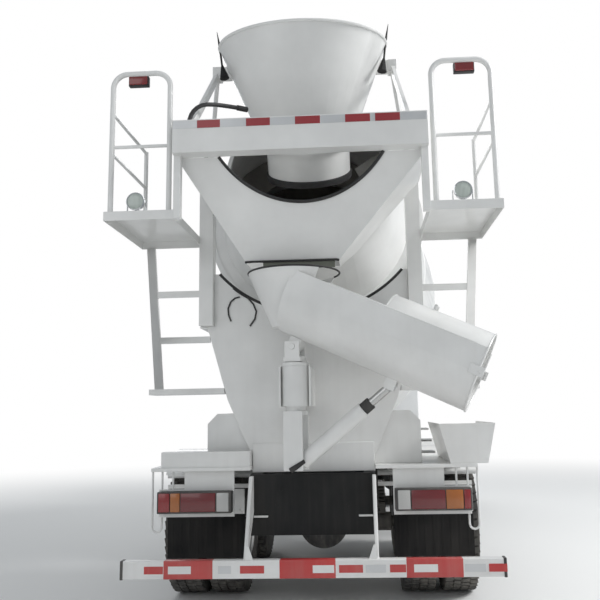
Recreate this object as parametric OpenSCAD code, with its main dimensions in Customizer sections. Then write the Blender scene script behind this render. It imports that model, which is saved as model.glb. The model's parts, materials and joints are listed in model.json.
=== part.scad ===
// Concrete mixer truck: three axles, cab over engine, rear discharge.
// Frame: X to the truck's right, Y forward, Z up, origin on the ground at the middle
// of the truck's length and width. Millimetres.

/* [Chassis] */
// Front face of the bumper to the front axle
front_overhang = 1500; // [1440:20:1600]
// Front axle to the first drive axle
wheelbase = 3800; // [3700:50:4200]
// First to second drive axle
bogie_spacing = 1350; // [1300:10:1450]
// Second drive axle to the rear face of the crossbeam
rear_overhang = 2000; // [1950:10:2200]
// Outer width over both frame rails
frame_w = 850; // [820:10:860]
// Height of a frame rail's channel
rail_h = 280; // [240:10:300]
// Top of the frame rails above the ground
frame_top = 1050; // [1040:5:1070]
// Flange width of a frame rail
rail_flange = 80; // [70:5:90]
// Plate thickness of a frame rail
rail_t = 10; // [8:1:14]
// Height of the mixer's subframe on the rails
subframe_h = 120; // [100:10:130]

/* [Wheels] */
// Outer radius of every tyre
tyre_r = 540; // [520:5:550]
// Width of one tyre
tyre_w = 285; // [270:5:295]
// Radius of the rim seat inside the tyre
rim_r = 286; // [280:1:290]
// Middle of the front tyres from the centre line
front_track_x = 1020; // [1010:5:1030]
// Middle between the twin tyres from the centre line
rear_track_x = 925; // [915:5:935]
// Distance between the middles of the twin tyres
twin_spacing = 325; // [320:1:335]
// Kingpin axis from the centre line
kingpin_x = 820; // [805:5:830]

/* [Cab] */
// Width of the cab over its side walls
cab_w = 2400; // [2300:20:2460]
// Length of the cab from its front panel to the rear wall
cab_len = 2000; // [1940:20:2040]
// Underside of the cab's floor
cab_floor_z = 1240; // [1220:5:1260]
// Top of the cab's roof
cab_roof_z = 2870; // [2800:10:2950]
// Thickness of the cab's walls and doors
cab_t = 40; // [35:1:50]
// Gap all round a door and round the grille flap
door_gap = 8; // [6:1:12]

/* [Drum] */
// Outer radius of the drum's cylindrical belly
drum_r = 1150; // [1100:10:1160]
// Outer radius of the drum's mouth
mouth_r = 600; // [590:5:620]
// Length of the drum along its axis
drum_len = 5160; // [5120:10:5190]
// Slope of the drum's axis in degrees
drum_tilt = 13; // [12.5:0.1:13.5]
// Thickness of the drum's plate
drum_t = 8; // [6:1:10]
// Outer radius of the roller ring
ring_r = 900; // [880:5:920]
// Width of the roller ring's running face
ring_w = 90; // [70:5:110]
// Radius of a support roller
roller_r = 125; // [115:5:135]
// Angle of a support roller from straight below the ring
roller_angle = 38; // [35:1:40]
// Turns that one mixing blade makes from the mouth to the front
blade_turns = 2.6; // [2:0.1:3]

/* [Discharge gear] */
// Slope of the stowed main chute in degrees
chute_slope = 25; // [23:1:27]
// Inside radius of the main chute
chute_r = 268; // [260:1:275]
// Plate thickness of the chutes
chute_t = 6; // [5:1:8]
// Length of the main chute from its tilt pin to its end
chute_len = 1180; // [1150:10:1200]
// Length of the folding extension chute
extension_len = 680; // [600:10:700]
// Angle of the stowed chute from straight sideways towards the rear
stow_angle = 12; // [10:1:13]
// Height of the chute's tilt pin above the ground
tilt_pin_z = 1890; // [1880:5:1900]
// Middle of the outlet and of the swivel axis from the centre line
swivel_x = -90; // [-100:5:-60]
// Half width of the feed hopper's rim, sideways
rim_half_x = 580; // [540:5:600]
// Half width of the feed hopper's rim, lengthways
rim_half_y = 400; // [380:5:410]
// Height of the middle of the feed hopper's rim
rim_z = 3960; // [3920:5:3970]
// Radius of the feed hopper's neck
neck_r = 300; // [290:5:310]
// Plate thickness of hopper and funnel
hopper_t = 6; // [5:1:8]
// Half width of the crossbeam behind the hopper
beam_half = 800; // [790:5:810]
// Half width over both operator platforms
platform_half = 1245; // [1220:5:1250]
// Top of the operator platforms
platform_z = 2730; // [2700:5:2760]
// Top of the hoops that guard the platforms
hoop_top_z = 3680; // [3600:10:3750]

/* [Hidden] */
$fn = 48;

white_paint = [0.86, 0.86, 0.84];
dark_paint = [0.13, 0.13, 0.14];
steel = [0.55, 0.56, 0.57];
black_rubber = [0.06, 0.06, 0.06];
cab_paint = [0.84, 0.85, 0.84];
glass = [0.45, 0.55, 0.6, 0.5];

run_fit = 0.05;        // radial play of a shaft in its bore
face_gap = 0.3;        // play between faces that slide or rest on each other
move_gap = 6;          // clearance between pieces that move past each other

// Stations along the truck
overall_len = front_overhang + wheelbase + bogie_spacing + rear_overhang;
front_y = overall_len / 2;
rear_y = -front_y;
axle_y = [front_y - front_overhang, front_y - front_overhang - wheelbase,
          front_y - front_overhang - wheelbase - bogie_spacing];
axle_z = tyre_r;
bar_y = rear_y + 400;          // rear face of the underrun bar
frame_rear_y = rear_y + 725;
frame_front_y = front_y - 350;
cab_y = [front_y - 75 - cab_len, front_y - 75];
body_gap = 200;                // cab's rear wall to the front end of the subframe
pedestal_rear_y = rear_y + 815;
sub_z = frame_top + subframe_h;
drum_y = axle_y[0] - 1275;     // middle of the drum's front head
drum_z = 2050;
column_y = [pedestal_rear_y - 65, pedestal_rear_y + 35];

// A block between two corners
module block(x, y, z) translate([x[0], y[0], z[0]])
    cube([x[1] - x[0], y[1] - y[0], z[1] - z[0]]);

// A round bar between two points
module rod(p, q, r) {
    v = q - p;
    translate(p) rotate([0, acos(v.z / norm(v)), atan2(v.y, v.x)]) cylinder(h = norm(v), r = r);
}

// A flat bar between two points, w wide sideways and t thick
module flat_bar(p, q, w, t) {
    v = q - p;
    translate(p) rotate([0, acos(v.z / norm(v)), atan2(v.y, v.x)])
        translate([-t / 2, -w / 2, 0]) cube([t, w, norm(v)]);
}

// A side view outline (y, z) given thickness from x[0] to x[1]
module side_plate(x, points) translate([x[0], 0, 0]) rotate([90, 0, 90])
    linear_extrude(x[1] - x[0]) polygon(points);

// A rear view outline (x, z) given thickness from y[0] to y[1]
module rear_plate(y, points) translate([0, y[1], 0]) rotate([90, 0, 0])
    linear_extrude(y[1] - y[0]) polygon(points);

module both_sides() { children(); mirror([1, 0, 0]) children(); }

// A tube of radius r swept along points p in or near a plane across u
function route_dir(p, i) = let (d = p[min(i + 1, len(p) - 1)] - p[max(i - 1, 0)]) d / norm(d);
function route_ring(p, i, r, n, u) = let (t = route_dir(p, i), a = cross(t, u) / norm(cross(t, u)), b = cross(a, t))
    [for (k = [0:n - 1]) p[i] + r * (cos(360 * k / n) * a + sin(360 * k / n) * b)];
function quad(a, b, n, k) = [[a + k, b + (k + 1) % n, b + k], [a + k, a + (k + 1) % n, b + (k + 1) % n]];
module tube(p, r, n = 10, u = [0, 1, 0]) {
    m = len(p);
    polyhedron([for (i = [0:m - 1]) each route_ring(p, i, r, n, u)],
               concat([[for (k = [n - 1:-1:0]) k]], [[for (k = [0:n - 1]) (m - 1) * n + k]],
                      [for (i = [0:m - 2], k = [0:n - 1]) each quad(i * n, (i + 1) * n, n, k)]));
}

// Chassis frame: two channels, their crossmembers and the closing plate
rail_out = frame_w / 2;
tow_x = 300;
tow_z = frame_top - 200;
tow_t = 40;
tow_hole_r = 22;
cross_y = [frame_front_y - 60, axle_y[0] - 2150, axle_y[1] + 700,
           (axle_y[1] + axle_y[2]) / 2, axle_y[2] - 620, frame_rear_y + 40];
module frame() color(dark_paint) {
    both_sides() difference() {
        block([rail_out - rail_flange, rail_out], [frame_rear_y, frame_front_y],
              [frame_top - rail_h, frame_top]);
        block([rail_out - rail_flange - 1, rail_out - rail_t], [frame_rear_y - 1, frame_front_y + 1],
              [frame_top - rail_h + rail_t, frame_top - rail_t]);
    }
    for (y = cross_y) block([rail_t / 2 - rail_out, rail_out - rail_t / 2], [y - 40, y + 40],
                            [frame_top - rail_h + 60, frame_top - 60]);
    block([-rail_out, rail_out], [frame_rear_y - rail_t, frame_rear_y],
          [frame_top - rail_h - 120, frame_top]);
    difference() {
        block([tow_x - 60, tow_x + 60], [frame_front_y - 100, front_y - 5], [tow_z - tow_t / 2, tow_z + tow_t / 2]);
        translate([tow_x, front_y - 50, tow_z - 50]) cylinder(h = 100, r = tow_hole_r);
    }
    // rests under the rear of the cab
    both_sides() block([rail_out - rail_flange + 5, rail_out - rail_t], [cab_y[0] + 40, cab_y[0] + 120],
                       [frame_top - 1, cab_floor_z - face_gap]);
}

// Subframe of the mixer: two box beams on the rails with crossmembers
sub_front_y = cab_y[0] - body_gap;
sub_w = 75;
module subframe() color(white_paint) {
    both_sides() block([rail_out - sub_w, rail_out], [pedestal_rear_y, sub_front_y],
                       [frame_top, sub_z]);
    for (y = [sub_front_y - 60, axle_y[1] + 1100, axle_y[2] - 700])
        block([sub_w / 2 - rail_out, rail_out - sub_w / 2], [y - 30, y + 30],
              [frame_top + 10, sub_z - 20]);
}

// Drum: its own frame has the axis along Z, from the front head to the mouth
module in_drum() translate([0, drum_y, drum_z]) rotate([90 - drum_tilt, 0, 0]) children();
// Sections of the drum's shell. Columns: distance from the front head, outer radius
head_t = 20;
flange_r = 300;
cone_front_s = 1250;
cone_rear_s = 2750;
drum_section = [[0, 0], [0, flange_r], [170, 720], [cone_front_s, drum_r],
                [cone_rear_s, drum_r], [drum_len, mouth_r]];
function shell_r(s, k = 1) = s <= drum_section[k + 1][0] || k == 4
    ? drum_section[k][1] + (drum_section[k + 1][1] - drum_section[k][1])
      * (s - drum_section[k][0]) / (drum_section[k + 1][0] - drum_section[k][0])
    : shell_r(s, k + 1);
ring_s = 4350;
stub_r = 60;
stub_len = 110;
module drum() color(white_paint) in_drum() {
    rotate_extrude($fn = 96) {
        polygon(concat([for (p = drum_section) [p[1], p[0]]],
                       [for (s = [drum_len, cone_rear_s, cone_front_s, drum_section[2][0] + drum_t])
                        [shell_r(s) - drum_t, s]],
                       [[flange_r, head_t], [0, head_t]]));
        translate([mouth_r - drum_t, drum_len - 30]) square([drum_t + 20, 30]);
        polygon([for (p = [[0, -35], [1, -35], [1, 35], [0, 35]])
                 [p[0] == 1 ? ring_r - 30 : shell_r(ring_s + p[1]) - drum_t / 2, ring_s + p[1]]]);
        translate([ring_r - 40, ring_s - ring_w / 2]) square([40, ring_w]);
    }
    translate([0, 0, -stub_len]) cylinder(h = stub_len + 1, r = stub_r);
}

// Two spiral blades that follow the shell's inside
blade_t = 10;
blade_gap = 0.5;
blade_from = 260;
blade_to = 4800;
blade_steps = 24;
function blade_height(s) = s < 900 ? 260 + 140 * (s - blade_from) / (900 - blade_from)
    : 400 - 150 * (s - 900) / (blade_to - 900);
function inside_r(s) = min(shell_r(s - blade_t), shell_r(s), shell_r(s + blade_t))
                       - drum_t - blade_gap;
module blade() {
    n = ceil(blade_turns * blade_steps);
    points = [for (i = [0:n]) let (a = 360 * blade_turns * i / n,
                                   s = blade_from + (blade_to - blade_from) * i / n,
                                   ro = inside_r(s), ri = ro - blade_height(s))
              for (p = [[ro, -1], [ro, 1], [ri, 1], [ri, -1]])
              [p[0] * cos(a), p[0] * sin(a), s + p[1] * blade_t / 2]];
    faces = concat([[2, 1, 0], [3, 2, 0], [4 * n, 4 * n + 1, 4 * n + 2], [4 * n, 4 * n + 2, 4 * n + 3]],
                   [for (i = [0:n - 1], k = [0:3], h = [0, 1]) let (a = 4 * i + k, b = 4 * i + (k + 1) % 4)
                    h == 0 ? [a, b, b + 4] : [a, b + 4, a + 4]]);
    polyhedron(points, faces);
}
module drum_blades() color(steel) in_drum() for (a = [0, 180]) rotate([0, 0, a]) blade();

// Support rollers under the ring, on shafts along the drum's axis
roller_w = 110;
shaft_r = 35;
bearing_t = 60;
roller_off = ring_r + roller_r + face_gap;
module at_roller(side) in_drum() rotate([0, 0, side * roller_angle])
    translate([0, -roller_off, ring_s]) rotate([0, 0, -side * roller_angle]) children();
shaft_half = roller_w / 2 + bearing_t + 20;
module roller(side) color(steel) at_roller(side) {
    translate([0, 0, -roller_w / 2]) cylinder(h = roller_w, r = roller_r);
    translate([0, 0, -shaft_half]) cylinder(h = 2 * shaft_half, r = shaft_r);
}
module roller_left() roller(-1);
module roller_right() roller(1);

// Rear pedestal: flared box on the subframe with a deck, roller bearings, cradle plate
// and the housing of the chute's swivel post
deck_z = drum_z + 30;
deck_front_y = pedestal_rear_y + 860;
deck_half = 800;
pedestal_t = 12;
column_x = 745;
column_w = 100;
swivel_y = pedestal_rear_y - 300;
post_r = 65;
housing_r = 90;
housing_z = [1500, 1760];
cradle_r = 880;
cradle_z = 3040;
end_plate_t = 12;
side_box_x = 750;
side_box_z = 1460;
side_box_y = [pedestal_rear_y + 40, pedestal_rear_y + 700];
// Rear view of the pedestal's side. Columns: half width, height
pedestal_side = [[frame_w / 2 + 5, sub_z], [600, 1555], [745, deck_z - pedestal_t]];
function mirrored(p) = concat([for (i = [len(p) - 1:-1:0]) [-p[i][0], p[i][1]]], p);
function shrunk(p, t) = [for (q = p) [q[0] - t, q[1]]];
module bearing(side) intersection() {
    at_roller(side) for (k = [-1, 1])
        translate([-75, -400, k * (roller_w / 2 + bearing_t / 2 + face_gap) - bearing_t / 2])
            difference() {
                union() {
                    cube([150, 400, bearing_t]);
                    translate([75, 400, 0]) cylinder(h = bearing_t, r = 75);
                }
                translate([75, 400, -1]) cylinder(h = bearing_t + 2, r = shaft_r + run_fit);
            }
    block([-900, 900], [rear_y, 0], [deck_z - 1, 3000]);
}
module rear_pedestal() color(white_paint) {
    difference() {
        rear_plate([pedestal_rear_y, deck_front_y], mirrored(pedestal_side));
        rear_plate([pedestal_rear_y + pedestal_t, deck_front_y - pedestal_t],
                   mirrored(shrunk([for (p = pedestal_side) [p[0], p[1] + (p[1] == sub_z ? -1 : 1)]],
                                   pedestal_t)));
    }
    block([-deck_half, deck_half], [pedestal_rear_y, deck_front_y], [deck_z - pedestal_t, deck_z]);
    difference() {
        rear_plate([pedestal_rear_y, pedestal_rear_y + pedestal_t],
                   mirrored([[column_x - column_w / 2 - face_gap, deck_z - 1], [column_x - column_w / 2 - face_gap, 2460]]));
        translate([0, pedestal_rear_y - 1, cradle_z]) rotate([-90, 0, 0])
            cylinder(h = pedestal_t + 2, r = cradle_r, $fn = 96);
    }
    for (side = [-1, 1]) bearing(side);
    // end plate that covers the subframe's rear end
    side_plate([-frame_w / 2 + 5, frame_w / 2 - 5],
               [[pedestal_rear_y - end_plate_t, frame_top + 5], [pedestal_rear_y - face_gap, frame_top + 5],
                [pedestal_rear_y - face_gap, sub_z + 10], [pedestal_rear_y + 2, sub_z + 12],
                [pedestal_rear_y + 2, sub_z + 80], [pedestal_rear_y - end_plate_t, sub_z + 80]]);
    // chamfered boxes beside the foot, on the walkway
    both_sides() rear_plate(side_box_y, [[frame_w / 2 + 1, shelf_z[1] + face_gap], [side_box_x, shelf_z[1] + face_gap],
        [side_box_x, side_box_z - 70], [side_box_x - 70, side_box_z], [pedestal_side[1][0] - 50, side_box_z],
        [frame_w / 2 + 1, sub_z]]);
    // step plates beside the right box
    for (k = [0, 1, 2], z = shelf_z[1] + 60 + 80 * k)
        block([side_box_x - 1, side_box_x + 100 - 20 * k], side_box_y + [60, -440], [z, z + 12]);
    difference() {
        union() {
            translate([swivel_x, swivel_y, housing_z[0]])
                cylinder(h = housing_z[1] - housing_z[0], r = housing_r);
            for (z = [[housing_z[0], housing_z[0] + 25],
                      [housing_z[1] - 25, housing_z[1]]])
                block([swivel_x - housing_r, swivel_x + housing_r],
                      [swivel_y, pedestal_rear_y + 1], z);
            for (k = [-1, 1]) block([swivel_x + k * 100 - 8, swivel_x + k * 100 + 8],
                                    [swivel_y - 60, pedestal_rear_y + 1], housing_z);
            block([swivel_x - 100, swivel_x + 100], [swivel_y - 10, swivel_y + 60], housing_z);
        }
        translate([swivel_x, swivel_y, 0]) cylinder(h = 3000, r = post_r + run_fit);
    }
}

// Chute gear. Its own frame: X away from the swivel axis, Z up, origin at the tilt pin
module in_swivel() translate([swivel_x, swivel_y, tilt_pin_z]) rotate([0, 0, -stow_angle]) children();
module in_chute() in_swivel() rotate([0, chute_slope, 0]) children();
pin_r = 20;
fork_half = 75;
trough_bottom = 60;
trough_mid = trough_bottom + chute_t + chute_r;
trough_wall = 130;
trough_start = -130;
bowl_r = 310;
bowl_foot_r = 150;
bowl_top_z = 2385;
// The jack leans from its foot pin on the post to the eye pin under the trough
jack_foot = [30, tilt_pin_z > 0 ? 1130 - tilt_pin_z : 0];
jack_eye_local = [690, 20];
jack_eye = [jack_eye_local[0] * cos(chute_slope) + jack_eye_local[1] * sin(chute_slope),
            jack_eye_local[1] * cos(chute_slope) - jack_eye_local[0] * sin(chute_slope)];
jack_angle = atan2(jack_eye[1] - jack_foot[1], jack_eye[0] - jack_foot[0]);
jack_len = norm(jack_eye - jack_foot);
jack_pin_r = 16;
eye_play = 5;
jack_r = 50;
jack_rod_r = 28;
jack_tube_len = 545;
module in_jack() in_swivel() translate([jack_foot[0], 0, jack_foot[1]])
    rotate([0, 90 - jack_angle, 0]) children();

module chute_post() color(white_paint) in_swivel() {
    translate([0, 0, housing_z[0] - 60 - tilt_pin_z])
        cylinder(h = tilt_pin_z - housing_z[0], r = post_r);
    translate([0, 0, housing_z[1] + face_gap - tilt_pin_z]) cylinder(h = 25, r = housing_r);
    translate([-post_r, -fork_half, housing_z[0] - 60 - tilt_pin_z]) cube([2 * post_r, 2 * fork_half, 30]);
    for (k = [-1, 1]) difference() {
        translate([-50, k * (fork_half - 9) - 9, -100]) cube([100, 18, 135]);
        rotate([90, 0, 0]) cylinder(h = 400, r = pin_r + run_fit, center = true);
    }
    translate([-60, -fork_half, -100]) cube([120, 2 * fork_half, 30]);
    for (k = [-1, 1]) difference() {
        translate([-post_r, k * (fork_half - 9) - 9, jack_foot[1] - 40])
            cube([2 * post_r, 18, housing_z[0] - 59 - tilt_pin_z - jack_foot[1] + 40]);
        translate([jack_foot[0], 0, jack_foot[1]]) rotate([90, 0, 0])
            cylinder(h = 200, r = jack_pin_r + run_fit, center = true);
    }
}

module trough(r, from, to, mid, wall, up) translate([from, 0, mid]) rotate([90, 0, 90])
    linear_extrude(to - from) union() {
        intersection() { circle(r, $fn = 96); translate([-r, -r]) square([2 * r, r + 0.01]); }
        translate([-r, 0]) square([2 * r, wall + up]);
    }
module chute() color(white_paint) {
    bowl_foot_z = tilt_pin_z + 130;
    difference() {
        union() {
            in_chute() {
                trough(chute_r + chute_t, trough_start, chute_len, trough_mid, trough_wall, 0);
                // ears of the extension's hinge
                for (k = [-1, 1]) translate([chute_len - 60, k * (chute_r + chute_t + 4) - 5, fold_z - 30])
                    cube([63 + 25, 10, 60]);
            }
            translate([swivel_x, swivel_y, bowl_foot_z])
                cylinder(h = bowl_top_z - bowl_foot_z, r1 = bowl_foot_r, r2 = bowl_r);
        }
        in_chute() trough(chute_r, trough_start + chute_t, chute_len + 1, trough_mid, trough_wall, 1);
        in_chute() trough(chute_r, 0, chute_len + 1, trough_mid, trough_wall, 600);
        translate([swivel_x, swivel_y, bowl_foot_z + chute_t])
            cylinder(h = bowl_top_z - bowl_foot_z, r1 = bowl_foot_r - chute_t, r2 = bowl_r - chute_t);
        block([-1000, 1000], [rear_y - 500, 0], [bowl_top_z, bowl_top_z + 500]);
        in_chute() translate([fold_x, 0, fold_z]) rotate([90, 0, 0])
            cylinder(h = 700, r = fold_pin_r + run_fit, center = true);
    }
    in_chute() {
        // hub on the tilt pin
        difference() {
            union() {
                rotate([90, 0, 0]) cylinder(h = 2 * (fork_half - 18 - face_gap), r = 32, center = true);
                translate([-40, -fork_half + 18 + face_gap, 0])
                    cube([80, 2 * (fork_half - 18 - face_gap), trough_bottom + 4]);
            }
        }
        rotate([90, 0, 0]) cylinder(h = 2 * fork_half + 10, r = pin_r, center = true);
        // ears and pin for the jack's eye
        for (k = [-1, 1]) translate([jack_eye_local[0] - 35, k * 45 - 7, jack_eye_local[1] - 25])
            cube([70, 14, trough_bottom - jack_eye_local[1] + 32]);
        translate([jack_eye_local[0], 0, jack_eye_local[1]]) rotate([90, 0, 0])
            cylinder(h = 90, r = jack_pin_r, center = true);
    }
}

// Extension chute, folded over the main chute and upside down
fold_x = chute_len + 3;
ext_r = chute_r - 32;
ext_wall = 60;
ext_top = 110;
ext_mid = trough_mid + trough_wall + ext_top - ext_r - chute_t;
fold_z = (ext_mid + ext_r + chute_t + trough_bottom - 6) / 2;
fold_pin_r = 10;
module chute_extension() color(white_paint) in_chute() {
    difference() {
        translate([0, 0, 2 * ext_mid]) mirror([0, 0, 1])
            trough(ext_r + chute_t, chute_len - extension_len, chute_len, ext_mid, ext_wall, 0);
        translate([0, 0, 2 * ext_mid]) mirror([0, 0, 1])
            trough(ext_r, chute_len - extension_len - 1, chute_len + 1, ext_mid, ext_wall, 1);
    }
    for (k = [-1, 1]) {
        translate([chute_len - 60, k * (ext_r + chute_t + 7) - 9, fold_z - 24]) cube([60 + 20, 18, 48]);
        translate([fold_x, k * (ext_r + 10), fold_z]) rotate([-90 * k, 0, 0])
            cylinder(h = chute_r + chute_t + 12 - ext_r - 10, r = fold_pin_r);
    }
}

module jack_tube() color(white_paint) in_jack() {
    difference() {
        union() {
            translate([0, 0, 20]) cylinder(h = jack_tube_len - 20, r = jack_r);
            rotate([90, 0, 0]) cylinder(h = 2 * (fork_half - 18 - face_gap), r = 34, center = true);
        }
        translate([0, 0, 70]) cylinder(h = jack_tube_len, r = jack_rod_r + run_fit);
    }
    rotate([90, 0, 0]) cylinder(h = 2 * fork_half + 6, r = jack_pin_r, center = true);
}
module jack_rod() color(steel) in_jack() difference() {
    union() {
        translate([0, 0, 260]) cylinder(h = jack_len - 260 - 15, r = jack_rod_r);
        translate([0, 0, jack_len]) rotate([90, 0, 0]) cylinder(h = 50, r = 36, center = true);
    }
    translate([0, 0, jack_len]) rotate([90, 0, 0])
        cylinder(h = 200, r = jack_pin_r + eye_play, center = true);
}

// Discharge funnel between the mouth and the chute
beam_z = [3080, 3295];
beam_d = 100;
outlet_z = 2450;
outlet_half = 310;
outlet_y = [swivel_y - 110, swivel_y + 100];
funnel_top = beam_z[0];
arc_r = 642;
arc_z = 3446;
// Rear view of the funnel, then its side view
function funnel_rear(d) = [[swivel_x - outlet_half + d, outlet_z - d], [swivel_x + outlet_half - d, outlet_z - d],
                           [beam_half - 5 - d, funnel_top + d], [5 + d - beam_half, funnel_top + d]];
function funnel_side(d) = [[outlet_y[0] + d, outlet_z - d], [outlet_y[1] - d, outlet_z - d],
                           [column_y[0] - d, outlet_z + 125], [column_y[0] + (d > 0 ? 50 : 0), outlet_z + 125 + d],
                           [column_y[0] + (d > 0 ? 50 : 0), funnel_top + d],
                           [rear_y + beam_d + d, funnel_top + d]];
module funnel_body(d) intersection() {
    rear_plate([rear_y, 0], funnel_rear(d));
    side_plate([-beam_half, beam_half], funnel_side(d));
}
module discharge_funnel() color(white_paint) difference() {
    funnel_body(0);
    funnel_body(hopper_t);
    translate([0, rear_y - 1, arc_z]) rotate([-90, 0, 0]) cylinder(h = 600, r = arc_r, $fn = 96);
}

// Feed hopper: oval rim that narrows to a round neck leading into the mouth
neck_tilt = 35;
neck_end = [0, drum_y - 4950, 3222];
neck_len = 250;
rim_y = rear_y + 410;
rim_tilt = 3;
function neck_at(d) = neck_end - d * [0, sin(neck_tilt), -cos(neck_tilt)];
module neck_disc(d, r, h = 1) translate(neck_at(d)) rotate([180 + neck_tilt, 0, 0])
    translate([0, 0, -h / 2]) cylinder(h = h, r = r, $fn = 40);
module rim_disc(t, h = 1) translate([0, rim_y, rim_z]) rotate([rim_tilt, 0, 0])
    linear_extrude(h) scale([(rim_half_x - t) / (rim_half_y - t), 1]) circle(rim_half_y - t, $fn = 40);
strut_x = [rim_half_x + 15, rim_half_x + 75];
module hopper() color(white_paint) {
    difference() {
        union() {
            hull() { rim_disc(0, 12); neck_disc(neck_len, neck_r + 30); }
            both_sides() block([rim_half_x - 80, strut_x[0]], [rim_y + 120, rim_y + 180], [rim_z - 125, rim_z - 45]);
            // water inlet
            translate([hose_end_x, hose_at.y, hose_at.z]) rotate([0, 90, 0]) cylinder(h = 90, r = inlet_r);
        }
        hull() { rim_disc(hopper_t, 13); neck_disc(neck_len - 1, neck_r + 30 - hopper_t, 2); }
    }
    difference() {
        union() {
            neck_disc(neck_len, neck_r + 45, 16);
            neck_disc(neck_len / 2, neck_r + hopper_t, neck_len);
        }
        neck_disc(neck_len / 2, neck_r, neck_len + 40);
    }
}

// Columns, side arms, crossbeam and the two operator platforms
arm_z = [3080, 3160];
module platforms() color(white_paint) {
    block([-beam_half, beam_half], [rear_y, rear_y + beam_d], beam_z);
    both_sides() {
        block([column_x - column_w / 2, column_x + column_w / 2], column_y, [deck_z, beam_z[1]]);
        block([beam_half - 60, beam_half - 1], [rear_y + beam_d - 1, column_y[0] + 1], arm_z);
        // platform with its turned-down edge
        difference() {
            block([beam_half - 5, platform_half], [rear_y + 50, column_y[1]], [platform_z - 60, platform_z]);
            block([beam_half + 1, platform_half - 6], [rear_y + 56, column_y[1] - 6], [platform_z - 61, platform_z - 5]);
        }
        block([beam_half - 45, beam_half - 1], [rear_y + 40, rear_y + 90], [platform_z - 60, beam_z[0] + 1]);
        // struts that hold the hopper
        for (q = [[680, rear_y + 50, beam_z[1] - 5], [column_x - 20, column_y[0] + 50, beam_z[1] - 5]])
            flat_bar([(strut_x[0] + strut_x[1]) / 2, rim_y + 150, rim_z - 90], q, 24, 50);
        block(strut_x, [rim_y + 110, rim_y + 190], [rim_z - 135, rim_z - 45]);
    }
}

// Hoops round the platforms and the ladders below them
tube_r = 17;
hoop_bend = 95;
cross_rail_z = 3165;
side_rail_z = [3395, 3125];
side_rail_r = 11;
ladder_y = [pedestal_rear_y + 5, column_y[1]];
ladder_z = platform_z - 60 - face_gap;
rail_top_x = 1200;
rail_low_x = 1125;
rail_w = 58;
rung_z = [2300, 1965];
rung_h = 45;
step_z = [1600, 1640];
step_x = 1165;
// Half width of the pedestal at a height above its knee
function side_at(z) = pedestal_side[1][0] + (pedestal_side[2][0] - pedestal_side[1][0])
                      * (z - pedestal_side[1][1]) / (pedestal_side[2][1] - pedestal_side[1][1]);
module railings() color(white_paint) both_sides() {
    x = [beam_half + 40, platform_half - 30];
    y = [rear_y + 90, column_y[1] - 40];
    bend_z = hoop_top_z - tube_r - hoop_bend;
    for (k = [0, 1]) {
        rod([x[k], y[0], platform_z], [x[k], y[0], bend_z], tube_r);
        translate([x[k] + (1 - 2 * k) * hoop_bend, y[0], bend_z]) rotate([90, 0, 0]) rotate([0, 0, 90 - 90 * k])
            rotate_extrude(angle = 90) translate([hoop_bend, 0]) circle(r = tube_r);
    }
    rod([x[0] + hoop_bend, y[0], bend_z + hoop_bend], [x[1] - hoop_bend, y[0], bend_z + hoop_bend], tube_r);
    rod([x[0], y[0], cross_rail_z], [x[1], y[0], cross_rail_z], side_rail_r);
    rod([x[1], y[1], platform_z], [x[1], y[1], side_rail_z[0] + side_rail_r], tube_r - 2);
    for (z = side_rail_z) rod([x[1], y[0], z], [x[1], y[1], z], side_rail_r);
    // ladder: outer rail, two rungs and the step, held by the column and the pedestal's side
    rear_plate(ladder_y, [[rail_top_x, ladder_z], [rail_top_x - rail_w, ladder_z],
                          [rail_low_x - rail_w, step_z[1] - 1], [rail_low_x, step_z[1] - 1]]);
    for (k = [0, 1]) block([(k == 0 ? column_x + column_w / 2 : side_at(rung_z[k] + rung_h)) + face_gap, rail_low_x - 10],
                           ladder_y + [2, -2], [rung_z[k], rung_z[k] + rung_h]);
    block([side_at(step_z[1]) + face_gap, step_x], [ladder_y[0] - 3, ladder_y[0] + 200], step_z);
}

// Work lamps on the platforms and marker lamps under the hoops
module upper_lamps() color("silver") {
    for (p = [[-1070, rear_y + 70], [1000, rear_y + 70]]) {
        translate([p[0], p[1], platform_z + 90]) rotate([-90, 0, 0]) cylinder(h = 60, r = 55);
        block([p[0] - 15, p[0] + 15], [p[1] + 31, p[1] + 45], [platform_z, platform_z + 60]);
    }
    for (k = [-1, 1]) block([k * 1020 - 70, k * 1020 + 70], [rear_y + 60, rear_y + 120],
                            [hoop_top_z - 2 * tube_r - 50, hoop_top_z - 2 * tube_r]);
}

// Hose from the left column to the inlet on the hopper
hose_r = 16;
hose_bend = 110;
hose_at = [-column_x - 20, column_y[1] - 30, 3460];
hose_end_x = -420;
inlet_r = 26;
module water_hose() color(black_rubber)
    tube(concat([[hose_at.x, hose_at.y, beam_z[1]]],
                [for (a = [180:-15:90]) [hose_at.x + hose_bend * (1 + cos(a)), hose_at.y,
                                         hose_at.z + hose_bend * (sin(a) - 1)]],
                [[hose_end_x - face_gap, hose_at.y, hose_at.z]]), hose_r);

// Grease hoses on the rear face of the pedestal, from the deck to the swivel; points (x, z)
grease_r = 6;
grease_y = pedestal_rear_y - grease_r - face_gap;
grease_routes = [[[-560, 2352], [-528, 2326], [-498, 2305], [-452, 2277], [-414, 2234], [-392, 2180],
                  [-403, 2125], [-438, 2075]],
                 [[-512, 2288], [-546, 2280], [-577, 2253], [-596, 2206], [-592, 2158], [-575, 2113]]];
module grease_hoses() color(black_rubber) for (p = grease_routes)
    tube([for (q = p) [q[0], grease_y, q[1]]], grease_r, 8);

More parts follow.
